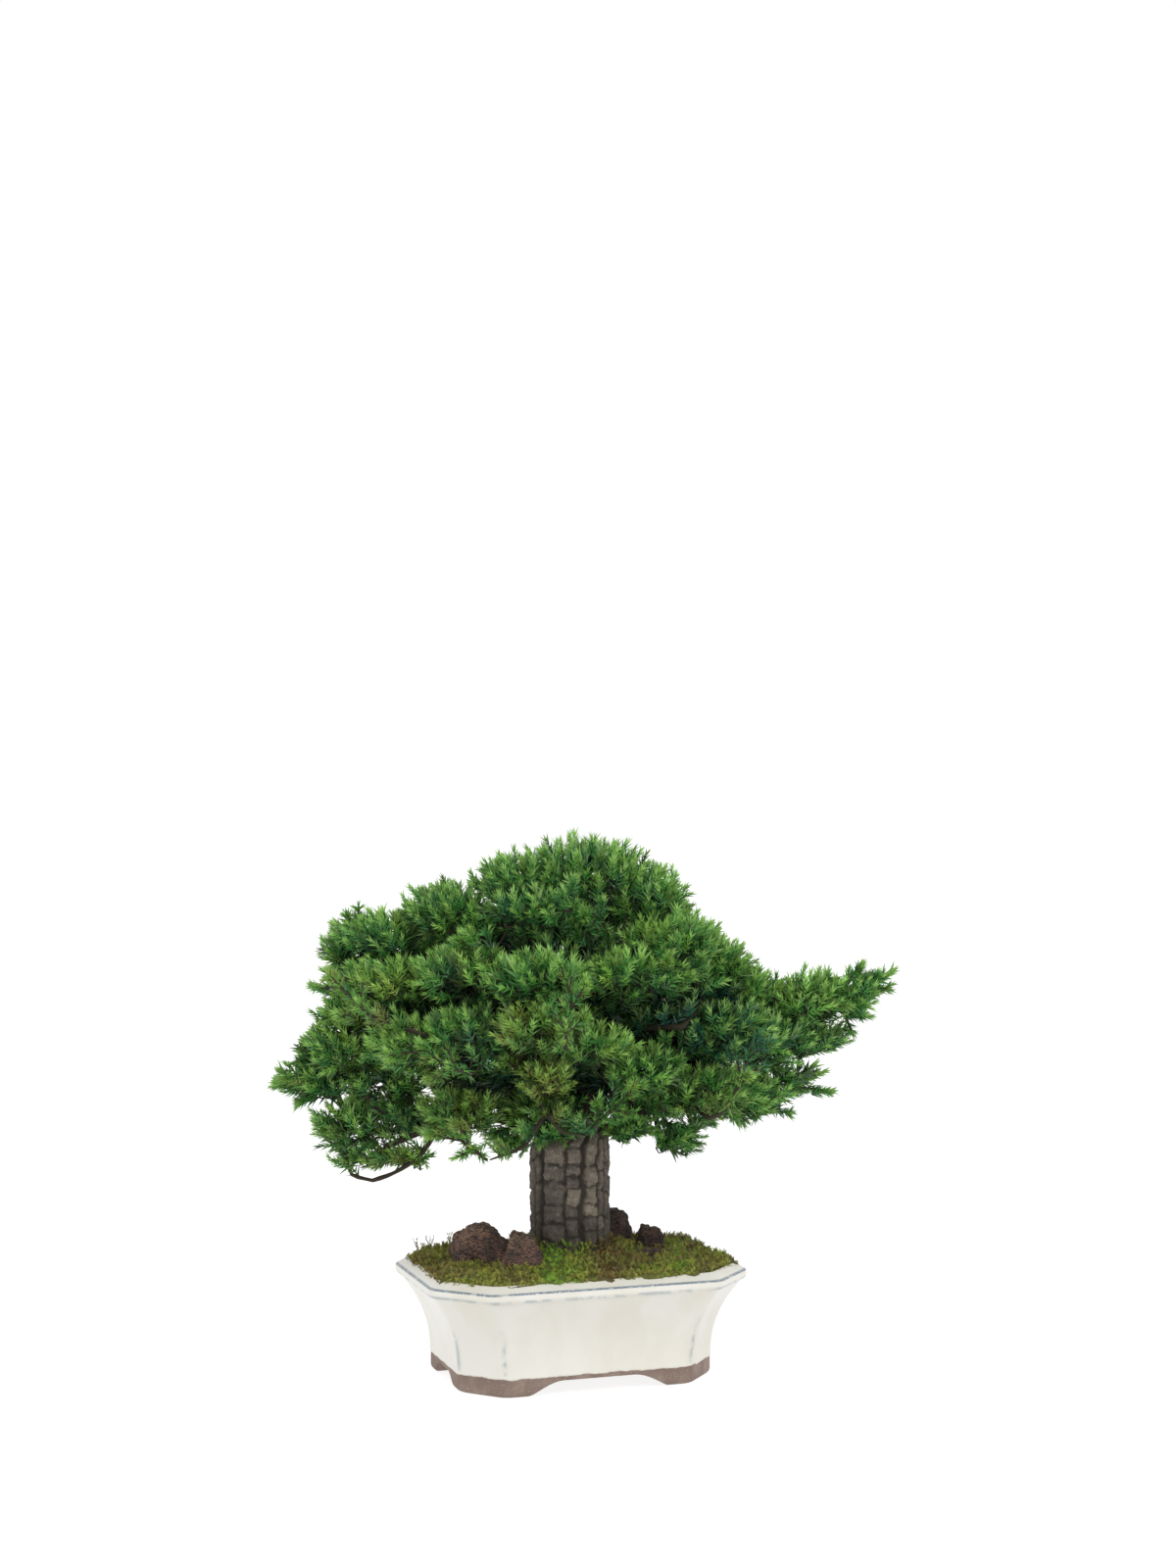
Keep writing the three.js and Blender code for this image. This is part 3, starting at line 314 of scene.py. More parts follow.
@dataclass(frozen=True)
class JuniperBark:
    """Old juniper bark, cracked by growth into plates that flake in thin curls.

    The plates are dry, grey-brown or tan, with pale painted highlights along their curled ridges and painted shade in
    the valleys between the curls. The furrows between them are almost black, darkened by painted shade with their
    depth, and the bark is darker towards the foot and mossy there.
    """

    crack: str = "#413B34"
    shaded: str = "#786F65"
    plate: str = "#A1968A"
    tan: str = "#BFB19C"
    # Pale painted highlight along the curls' ridges.
    curl: str = "#CAC3B6"
    # Painted shade in the valleys between curls and wrinkles; it also darkens the bark towards the foot.
    valley_shade_and_dark_foot: str = "#464037"
    moss_film: str = "#4F5A26"
    curl_mm: float = 3.4

    def material(self) -> bpy.types.Material:
        """Builds the bark's material.

        Returns:
            The bark, darker and greener down by the moss.
        """
        s = Surface("weathered_juniper_bark", IOR=1.45)
        height = add_node(s.tree, "ShaderNodeSeparateXYZ", {0: s.place}).outputs["Z"]
        tone = s.math("ADD", s.attribute("tone"), s.math("MULTIPLY", s.math("SUBTRACT", s.noise(4.0, 4.0), 0.5), 0.7))
        plates = s.ramp(tone, (0.1, self.shaded), (0.5, self.plate), (0.9, self.tan))
        layers = s.math("MULTIPLY", s.noise(self.curl_mm, 2.0), 15.0)
        curls = s.math("PINGPONG", layers, 0.5)
        wrinkle = s.math("PINGPONG", s.math("MULTIPLY", s.noise(1.5, 3.0), 9.0), 0.5)
        # Painted shade in the valleys between the curls and the wrinkles.
        plates = s.mix(s.spread(curls, 0.26, 0.03, 0.0, 0.85), plates, self.valley_shade_and_dark_foot)
        plates = s.mix(s.spread(wrinkle, 0.2, 0.02, 0.0, 0.55), plates, self.valley_shade_and_dark_foot)
        # Painted highlight: pale streaks along the curls' ridges.
        ridge_highlight = s.math("MULTIPLY", s.spread(curls, 0.34, 0.5), s.spread(s.noise(5.0), 0.44, 0.58, 0.0, 0.75))
        plates = s.mix(ridge_highlight, plates, self.curl)
        # Darker towards the foot, on the darker plates.
        low = s.math("MULTIPLY", s.spread(height, 122 * MM, 84 * MM, 0.0, 0.5), s.spread(tone, 0.85, 0.55))
        plates = s.mix(low, plates, self.valley_shade_and_dark_foot)
        film = s.math("MULTIPLY", s.spread(height, 94 * MM, 74 * MM), s.spread(s.noise(5.0), 0.46, 0.6, 0.0, 0.9))
        plates = s.mix(film, plates, self.moss_film)
        # Painted shade: the furrows darken with the crack's depth.
        colour = s.mix(s.attribute("crack"), plates, self.crack)
        fine = s.math("ADD", curls, s.math("MULTIPLY", s.math("ADD", wrinkle, s.noise(0.9, 3.0)), 0.5))
        return s.finish(colour, s.spread(curls, 0.0, 0.5, 0.95, 0.8), fine, 1.1)


@dataclass(frozen=True)
class TwigBark:
    """Thin scaly bark of boughs and twigs, brown-grey, greener where the shoot is young.

    Its colours are darkened as painted shade, as the boughs sit inside the crown.
    """

    # Both bark colours are darkened as painted shade.
    old: str = "#32271F"
    young: str = "#333A1E"
    gap: str = "#241C16"
    grain_mm: float = 1.2

    def material(self) -> bpy.types.Material:
        """Builds the bough bark's material.

        Returns:
            The bark, its gaps darker than its scales.
        """
        s = Surface("scaly_twig_bark", IOR=1.45, Roughness=0.85)
        scales = s.noise(self.grain_mm, 3.0)
        colour = s.mix(s.spread(s.noise(18.0), 0.4, 0.62, 0.0, 0.5), self.old, self.young)
        return s.finish(s.mix(s.spread(scales, 0.55, 0.35, 0.0, 0.7), colour, self.gap), None, scales, 0.4)


@dataclass(frozen=True)
class JuniperNeedle:
    """Preserved juniper needles: waxy, dyed evenly, so they keep a satin gloss.

    The mesh carries each shoot's tone, from blue-green through green to yellow-green, its painted shade, and the
    needle's
    age along the shoot: the youngest needles at the tips are the palest, and the shoot's foot is darkened as painted
    shade.
    """

    teal: str = "#2A6F5C"
    deep: str = "#33703F"
    green: str = "#4D913C"
    lime: str = "#84A340"
    straw: str = "#948556"
    tip: str = "#9AC460"
    shadow: str = "#13281E"

    def material(self) -> bpy.types.Material:
        """Builds the needles' material.

        Returns:
            The needles, coloured by what the mesh carries.
        """
        s = Surface("waxy_juniper_needles", IOR=1.45, Roughness=0.38)
        tone = s.ramp(s.attribute("tone"), (0.0, self.teal), (0.26, self.deep), (0.6, self.green),
                      (0.9, self.lime), (1.0, self.straw))
        age = s.attribute("age")
        # Painted shade: the shoot's foot, deep in the foliage, darkens towards the shadow colour.
        grown = s.mix(s.spread(age, 0.4, -0.3, 0.0, 0.85), tone, self.shadow)
        fresh = s.mix(s.spread(age, 0.5, 1.25, 0.0, 0.75), grown, self.tip)
        # Painted light and shade, from the shade that the mesh carries.
        colour = s.mix(s.spread(s.attribute("shade"), 0.0, 0.9, 0.82, 0.0), fresh, self.shadow)
        return s.finish(colour)


@dataclass(frozen=True)
class SheetMoss:
    """Dried and re-wetted sheet moss: a felt of thin fronds, olive and brown with fresh green patches."""

    brown: str = "#7A6238"
    olive: str = "#7F8040"
    yellow: str = "#94963F"
    green: str = "#789C34"
    # Painted shade, down between the fronds.
    dark: str = "#2C301A"

    def material(self) -> bpy.types.Material:
        """Builds the moss's material.

        Returns:
            The moss, with painted shade down between the fronds.
        """
        s = Surface("sheet_moss", IOR=1.4, Roughness=0.8)
        colour = s.ramp(s.attribute("tone"), (0.08, self.brown), (0.4, self.olive), (0.62, self.yellow),
                        (0.9, self.green))
        # Painted shade: low on the fronds and on the felt beneath them.
        deep = s.spread(s.attribute("age"), 0.62, 0.0, 0.0, 0.9)
        return s.finish(s.mix(deep, colour, self.dark))


@dataclass(frozen=True)
class LavaRock:
    """Basalt lava, broken and porous: dull red-brown or black with a level grain and pits, its hollows darkened as
    painted shade and its top lit by a tan painted highlight.
    """

    rust: str = "#76594C"
    brown: str = "#54423A"
    black: str = "#26211F"
    tan: str = "#9A7F62"
    grain_mm: float = 2.6
    darkness: float = 0.0

    def material(self, name: str) -> bpy.types.Material:
        """Builds the rock's material.

        Args:
            name: The material's name.

        Returns:
            The rock.
        """
        s = Surface(name, IOR=1.5, Roughness=0.92)
        base = s.mix(s.spread(s.noise(9.0, 4.0, (1, 1, 1.6)), 0.4, 0.62), self.brown, self.rust)
        # Tan painted highlight on the stone's top, and tan in the scoop.
        crest = s.math("MULTIPLY", s.attribute("crest"), s.spread(s.noise(4.0, 3.0), 0.42, 0.6, 0.0, 0.8))
        base = s.mix(crest, base, self.tan)
        grain = s.noise(self.grain_mm, 4.0, (1, 1, 3.2))
        pits = s.noise(1.1, 3.0)
        rough = s.math("ADD", s.math("MULTIPLY", grain, 0.6), s.math("MULTIPLY", pits, 0.4))
        # Painted shade in the pits and the grain's hollows.
        colour = s.mix(s.spread(rough, 0.53, 0.43, 0.0, 0.9), base, self.black)
        if self.darkness:
            colour = s.mix(self.darkness, colour, self.black)
        return s.finish(colour, None, rough, 1.6)


@dataclass(frozen=True)
class PottingSoil:
    """Damp crumbly potting soil, dark brown with a few pale grains."""

    earth: str = "#33271E"
    grain: str = "#8C7A62"
    crumb_mm: float = 2.2

    def material(self) -> bpy.types.Material:
        """Builds the soil's material.

        Returns:
            The soil with its pale grains.
        """
        s = Surface("crumbly_potting_soil", IOR=1.4, Roughness=0.95)
        crumbs = s.noise(self.crumb_mm, 4.0)
        colour = s.mix(s.spread(s.noise(3.0), 0.66, 0.72, 0.0, 0.8), self.earth, self.grain)
        return s.finish(colour, None, crumbs, 1.2)


@dataclass(frozen=True)
class ScreenPlastic:
    """Moulded black polyethylene of the drain screens, with a fine matt grain."""

    black: str = "#1D1F20"
    worn: str = "#303334"
    # Real moulding grain is about 0.1 mm, too fine to show, so it is drawn coarser.
    grain_mm: float = 0.6

    def material(self) -> bpy.types.Material:
        """Builds the screens' material.

        Returns:
            The plastic with its matt grain.
        """
        s = Surface("moulded_black_polyethylene", IOR=1.5, Roughness=0.55)
        grain = s.noise(self.grain_mm, 2.0)
        return s.finish(s.mix(s.spread(grain, 0.4, 0.7), self.black, self.worn), None, grain, 0.05)


def finished_mesh(name: str, shape: bmesh.types.BMesh) -> bpy.types.Mesh:
    """Turns a shape into a mesh.

    Args:
        name: The mesh's name.
        shape: The shape, which is freed.

    Returns:
        The mesh.
    """
    mesh = bpy.data.meshes.new(name)
    shape.to_mesh(mesh)
    shape.free()
    return mesh


def new_object(name: str, mesh: bpy.types.Mesh) -> bpy.types.Object:
    """Puts a mesh into the scene.

    Args:
        name: The object's name.
        mesh: Its mesh, already in place.

    Returns:
        The object, at the origin.
    """
    thing = bpy.data.objects.new(name, mesh)
    bpy.context.scene.collection.objects.link(thing)
    return thing


def place_piece(name: str, shape: bmesh.types.BMesh, finishes: Iterable[bpy.types.Material], slot: str,
                *replaced: str, smooth: bool = True) -> None:
    """Turns a finished shape into a piece of the object.

    Args:
        name: The piece's name.
        shape: Its shape, which is freed.
        finishes: Its materials, in the order of its faces' numbers.
        slot: Not used.
        *replaced: The frame's nodes that it stands for.
        smooth: Whether its faces are shaded smooth.
    """
    mesh = finished_mesh(name, shape)
    mesh.polygons.foreach_set("use_smooth", [smooth] * len(mesh.polygons))
    for finish in finishes:
        mesh.materials.append(finish)
    piece = new_object(name, mesh)
    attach(piece, BODY)
    if replaced:
        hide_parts(*replaced)
    triangles = sum(len(face.vertices) - 2 for face in mesh.polygons)
    LOG.info("%s: %d triangles", name, triangles)


def merged_copy(node: str) -> bmesh.types.BMesh:
    """Copies a node's mesh with its loose triangles joined at their corners.

    Args:
        node: The node's name.

    Returns:
        The copy as a bmesh.
    """
    shape = bmesh.new()
    shape.from_mesh(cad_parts[node].data)
    bmesh.ops.remove_doubles(shape, verts=shape.verts, dist=0.01 * MM)
    return shape


class Stamp:
    """A small shape that is copied many times, each copy moved and tinted by numbers."""

    def __init__(self, shape: bmesh.types.BMesh, name: str) -> None:
        """Keeps the shape's mesh and its points.

        Args:
            shape: The shape about its own foot, along +Z, which is freed.
            name: The mesh's name.
        """
        self.mesh = finished_mesh(name, shape)
        self.points = np.empty(len(self.mesh.vertices) * 3, np.float32)
        self.mesh.vertices.foreach_get("co", self.points)
        self.points = self.points.reshape(-1, 3)

    def press(self, target: bmesh.types.BMesh, place: Matrix, **tints: float) -> None:
        """Adds one copy at a place to a growing shape, with numbers that all its vertices carry."""
        matrix = np.array(place, np.float32)
        self.press_points(target, self.points @ matrix[:3, :3].T + matrix[:3, 3], **tints)

    def press_points(self, target: bmesh.types.BMesh, points: np.ndarray, **tints: float) -> None:
        """Adds one copy with its points moved.

        Args:
            target: The shape that it is added to.
            points: The copy's points.
            **tints: Numbers that all its vertices carry.
        """
        self.mesh.vertices.foreach_set("co", points.astype(np.float32).ravel())
        for name, value in tints.items():
            self.mesh.attributes[name].data.foreach_set("value", np.full(len(points), value, np.float32))
        target.from_mesh(self.mesh)


def with_tints(shape: bmesh.types.BMesh) -> bmesh.types.BMesh:
    """Lets a shape's vertices carry their age and depth for painted shade, their painted shade and their tone.

    Args:
        shape: The shape.

    Returns:
        The same shape.
    """
    for name in TINTS:
        shape.verts.layers.float.new(name)
    return shape


def vertices_in(geometry: Iterable[object]) -> list[bmesh.types.BMVert]:
    """Picks the vertices out of what an operator returns.

    Args:
        geometry: Vertices, edges and faces.

    Returns:
        The vertices alone.
    """
    return [item for item in geometry if isinstance(item, bmesh.types.BMVert)]


def refine(shape: bmesh.types.BMesh, longest_mm: float, rounds: int) -> None:
    """Halves a shape's long edges, round by round, and keeps its faces triangles.

    Args:
        shape: The shape.
        longest_mm: The length up to which an edge stays whole.
        rounds: The number of rounds.
    """
    for _ in range(rounds):
        edges = [edge for edge in shape.edges if edge.calc_length() > longest_mm * MM]
        bmesh.ops.subdivide_edges(shape, edges=edges, cuts=1, use_grid_fill=True)
        bmesh.ops.triangulate(shape, faces=[face for face in shape.faces if len(face.verts) > 3])


def ease(shape: bmesh.types.BMesh, factor: float, rounds: int = 1) -> None:
    """Evens out a shape's facets.

    Args:
        shape: The shape.
        factor: How far each vertex moves to the middle of its neighbours.
        rounds: The number of rounds.
    """
    for _ in range(rounds):
        bmesh.ops.smooth_vert(shape, verts=shape.verts, factor=factor, use_axis_x=True, use_axis_y=True,
                              use_axis_z=True)


def add_column(shape: bmesh.types.BMesh, sides: int, cuts: int) -> None:
    """Adds a closed column of unit height and radius, cut into levels.

    Args:
        shape: The shape that it is added to.
        sides: The column's sides.
        cuts: The number of cuts between its foot and its top.
    """
    bmesh.ops.create_cone(shape, cap_ends=True, segments=sides, radius1=1, radius2=1, depth=1,
                          matrix=Matrix.Translation((0, 0, 0.5)))
    upright = [edge for edge in shape.edges if abs(edge.verts[0].co.z - edge.verts[1].co.z) > 0.5]
    bmesh.ops.subdivide_edges(shape, edges=upright, cuts=cuts)


def aimed(foot: Vector, direction: Vector, spin: float, size: float = 1.0) -> Matrix:
    """Places a shape's foot at a point with its +Z along a direction.

    Args:
        foot: Where its origin goes.
        direction: Where its +Z points.
        spin: Its turn about that direction.
        size: Its scale.

    Returns:
        The placing matrix.
    """
    turn = direction.to_track_quat("Z", "Y").to_matrix().to_4x4()
    return Matrix.Translation(foot) @ turn @ Matrix.Rotation(spin, 4, "Z") @ Matrix.Scale(size, 4)


@dataclass(frozen=True)
class Needle:
    """One awl-shaped needle: a flat keeled foot that tapers evenly to a sharp point."""

    length_mm: float = 6.2
    width_mm: float = 1.3
    thickness_mm: float = 0.6

    def add(self, shape: bmesh.types.BMesh, foot: Vector, direction: Vector, spin: float, size: float) -> list:
        """Adds the needle to a shape.

        Args:
            shape: The shape that it grows on.
            foot: Its foot, in metres.
            direction: Where it points.
            spin: Its turn about that direction.
            size: Its length as a share of a full one.

        Returns:
            Its vertices.
        """
        # A three-sided foot of radius 1 is 1.5 thick and the square root of 3 wide.
        length = self.length_mm * MM * size
        spread = Matrix.Diagonal((self.thickness_mm * MM / 1.5, self.width_mm * MM / math.sqrt(3), length, 1))
        place = aimed(foot, direction, spin) @ spread @ Matrix.Translation((0, 0, 0.5))
        made = bmesh.ops.create_cone(shape, cap_ends=True, segments=3, radius1=1, radius2=0, depth=1, matrix=place)
        return made["verts"]


@dataclass(frozen=True)
class LeafyShoot:
    """A twig's end with needles in whorls of three, each whorl turned across the one below."""

    length_mm: float
    whorls: int
    stem_radius_mm: float = 0.5
    foot_lean: float = math.radians(56)
    tip_lean: float = math.radians(20)
    lean_jitter: float = 0.16
    turn_jitter: float = 0.3
    twist: float = 0.4
    shorter_by_tip: float = 0.3
    length_jitter: tuple[float, float] = (0.86, 1.12)
    age_jitter: float = 0.16
    end_needle: float = 0.62
    most_bend: float = 0.3
    needle: Needle = Needle()

    def stamp(self, name: str, rng: random.Random) -> Stamp:
        """Builds the shoot along +Z from the origin.

        Args:
            name: The mesh's name.
            rng: The source of its small irregularities.

        Returns:
            The shoot as a stamp.
        """
        shape = with_tints(bmesh.new())
        length = self.length_mm * MM
        radius = self.stem_radius_mm * MM
        bmesh.ops.create_cone(shape, cap_ends=True, segments=3, radius1=radius, radius2=radius * 0.5,
                              depth=length, matrix=Matrix.Translation((0, 0, length / 2)))
        age = shape.verts.layers.float["age"]
        for face in shape.faces:
            face.material_index = 1
        for whorl in range(self.whorls):
            share = (whorl + 0.4) / self.whorls
            for third in range(3):
                azimuth = (third + whorl / 2) * math.tau / 3 + rng.uniform(-self.turn_jitter, self.turn_jitter)
                lean = self.foot_lean + (self.tip_lean - self.foot_lean) * share
                lean += rng.uniform(-self.lean_jitter, self.lean_jitter)
                outward = Vector((math.cos(azimuth), math.sin(azimuth), 0))
                direction = UP * math.cos(lean) + outward * math.sin(lean)
                foot = UP * length * share + outward * radius * 0.4
                size = (1.0 - self.shorter_by_tip * share ** 2) * rng.uniform(*self.length_jitter)
                own_age = rng.gauss(0, self.age_jitter)
                for vertex in self.needle.add(shape, foot, direction, rng.uniform(-self.twist, self.twist), size):
                    vertex[age] = own_age
        self.needle.add(shape, UP * length * 0.96, UP, 0.0, self.end_needle)
        bend = rng.uniform(-self.most_bend, self.most_bend) / length
        for vertex in shape.verts:
            vertex[age] += vertex.co.z / length
            vertex.co.x += bend * vertex.co.z ** 2
        return Stamp(shape, name)


@dataclass(frozen=True)
class Pad:
    """One cushion of foliage in the tree's front view, in millimetres."""

    across: float
    height: float
    depth: float
    half_width: float
    half_height: float
    half_depth: float
    tone: float = 0.0
    density: float = 1.0

    def middle(self) -> Vector:
        """The pad's middle as across, depth and height."""
        return Vector((self.across, self.depth, self.height))

    def skin(self, way: Vector) -> Vector:
        """The pad's skin in a direction from its middle, as across, depth and height."""
        return self.middle() + Vector((way.x * self.half_width, way.y * self.half_depth, way.z * self.half_height))

    def normal(self, way: Vector) -> Vector:
        """The way out of the skin in a direction from the middle."""
        return Vector((way.x / self.half_width, way.y / self.half_depth, way.z / self.half_height)).normalized()

    def holds(self, point: Vector, share: float) -> bool:
        """Whether a point lies within a share of the pad's size."""
        return (((point.x - self.across) / self.half_width) ** 2 + ((point.y - self.depth) / self.half_depth) ** 2
                + ((point.z - self.height) / self.half_height) ** 2) < share ** 2

    def distance(self, point: Vector) -> float:
        """How far a point lies from the pad's middle, where 1 is its skin."""
        away = point - self.middle()
        return math.hypot(away.x / self.half_width, away.y / self.half_depth, away.z / self.half_height)

    def area(self) -> float:
        """The skin's area in square millimetres, by the usual rule for ellipsoids."""
        a, b, c = self.half_width ** 1.6, self.half_height ** 1.6, self.half_depth ** 1.6
        return 4 * math.pi * ((a * b + b * c + a * c) / 3) ** (1 / 1.6)


FRONT_PADS = (
    Pad(9, 305, -5, 46, 23, 44),
    Pad(-30, 299, -10, 30, 21, 38),
    Pad(48, 290, -6, 27, 21, 40),
    Pad(-20, 286, -42, 34, 14, 30, -0.04),
    Pad(62, 268, -40, 30, 19, 36, 0.02),
    Pad(88, 250, -14, 26, 17, 36, 0.02),
    Pad(112, 233, -10, 25, 13, 32, 0.08),
    Pad(40, 250, -68, 34, 14, 32, 0.02),
    Pad(-70, 281, -14, 36, 20, 38),
    Pad(-112, 267, -8, 35, 16, 36, 0.04),
    Pad(-141, 261, -6, 12, 12, 20, 0.02),
    Pad(-106, 240, -40, 34, 17, 34, 0.2),
    Pad(-64, 249, -60, 30, 17, 32, 0.06),
    Pad(-130, 219, -10, 26, 14, 34, 0.1),
    Pad(-139, 198, -20, 28, 20, 36, 0.05),
    Pad(-158, 180, -22, 23, 11, 22, -0.02),
    Pad(-92, 207, -62, 28, 18, 30, 0.16),
    Pad(-136, 153, -18, 22, 17, 26, 0.08, 0.75),
    Pad(-100, 160, -16, 24, 12, 24, -0.04, 0.5),
    Pad(-118, 180, -14, 32, 12, 26),
    Pad(-108, 134, -22, 26, 9, 14, 0.1, 0.8),
    Pad(-134, 139, -20, 14, 10, 14, 0.06, 0.8),
    Pad(-24, 163, -14, 22, 10, 24, 0.0),
    Pad(-6, 164, 2, 20, 11, 22, -0.05),
    Pad(-66, 163, -42, 26, 15, 28, 0.24),
    Pad(-58, 218, -72, 26, 13, 26, -0.12),
    Pad(-18, 248, -80, 34, 16, 30, 0.06),
    Pad(-18, 219, -88, 28, 16, 26, 0.22),
    Pad(15, 210, -84, 25, 10, 26, 0.14),
    Pad(-13, 187, -66, 17, 15, 24, 0.34),
    Pad(-12, 153, -38, 20, 9, 20, -0.05),
    Pad(-38, 144, -24, 14, 5, 14, 0.02, 0.8),
    Pad(37, 153, -34, 15, 10, 20, 0.04),
    Pad(148, 230, -22, 26, 18, 28),
    Pad(172, 234, -26, 17, 13, 18, 0.04),
    Pad(188, 244, -28, 9, 4, 6, 0.1),
    Pad(150, 207, -18, 23, 12, 22, -0.02),
    Pad(98, 214, -48, 31, 18, 32, -0.32),
    Pad(124, 206, -28, 26, 18, 34, -0.12),
    Pad(45, 190, -62, 23, 16, 28, 0.04),
    Pad(84, 178, -50, 32, 16, 32, 0.12),
    Pad(108, 174, -30, 24, 15, 28, 0.08),
    Pad(136, 184, -18, 20, 7, 14, -0.05, 0.5),
    Pad(122, 168, -18, 14, 6, 14, 0.0, 0.5),
    Pad(68, 145, -24, 18, 6, 16, 0.02, 0.7),
)
BACK_PADS = (
    Pad(0, 276, 46, 46, 26, 42),
    Pad(-66, 256, 48, 42, 24, 42, 0.05),
    Pad(-120, 236, 32, 34, 22, 36),
    Pad(62, 254, 50, 40, 23, 42, 0.05),
    Pad(104, 226, 40, 32, 18, 34),
    Pad(-112, 196, 48, 38, 20, 34, 0.08),
    Pad(-64, 214, 78, 38, 22, 30, 0.12),
    Pad(-10, 236, 84, 38, 20, 30),
    Pad(34, 208, 90, 38, 22, 30, -0.05),
    Pad(86, 196, 68, 34, 20, 34, 0.05),
    Pad(130, 200, 28, 28, 16, 28),
    Pad(-60, 168, 54, 32, 14, 32),
    Pad(0, 182, 78, 32, 15, 28, 0.06),
    Pad(58, 166, 50, 30, 14, 30),
    Pad(-110, 158, 22, 26, 12, 24, 0.1, 0.7),
    Pad(-150, 186, 22, 20, 12, 22),
)
INNER_PADS = (
    Pad(-6, 240, -6, 58, 40, 62, -0.3),
    Pad(-84, 222, -10, 50, 34, 44, -0.3),
    Pad(72, 222, -8, 56, 26, 46, -0.35),
    Pad(-30, 192, 0, 50, 22, 50, -0.3),
    Pad(50, 182, 2, 44, 20, 44, -0.3),
)


@dataclass(frozen=True)
class Shoot:
    """Where one leafy shoot goes."""

    foot: Vector
    direction: Vector
    tone: float
    shade: float
    fine: bool = True


class Layer(Enum):
    """Where a shoot grows: on the pads' skin, under it, or deep inside the crown."""

    OUTER = (FRONT_PADS + BACK_PADS, 1.0, 0.82, 0.0)
    UNDER = (FRONT_PADS + BACK_PADS, 0.72, 0.36, -0.35)
    HEART = (INNER_PADS, 1.0, 0.66, -0.6)

    def __init__(self, pads: tuple[Pad, ...], size: float, density: float, shade: float) -> None:
        """Keeps what the layer's shoots need.

        Args:
            pads: The pads that they grow on.
            size: The share of a pad's size at which they end.
            density: Their number, as a share of the full one.
            shade: What is added to their brightness.
        """
        self.pads = pads
        self.size = size
        self.density = density
        self.shade = shade


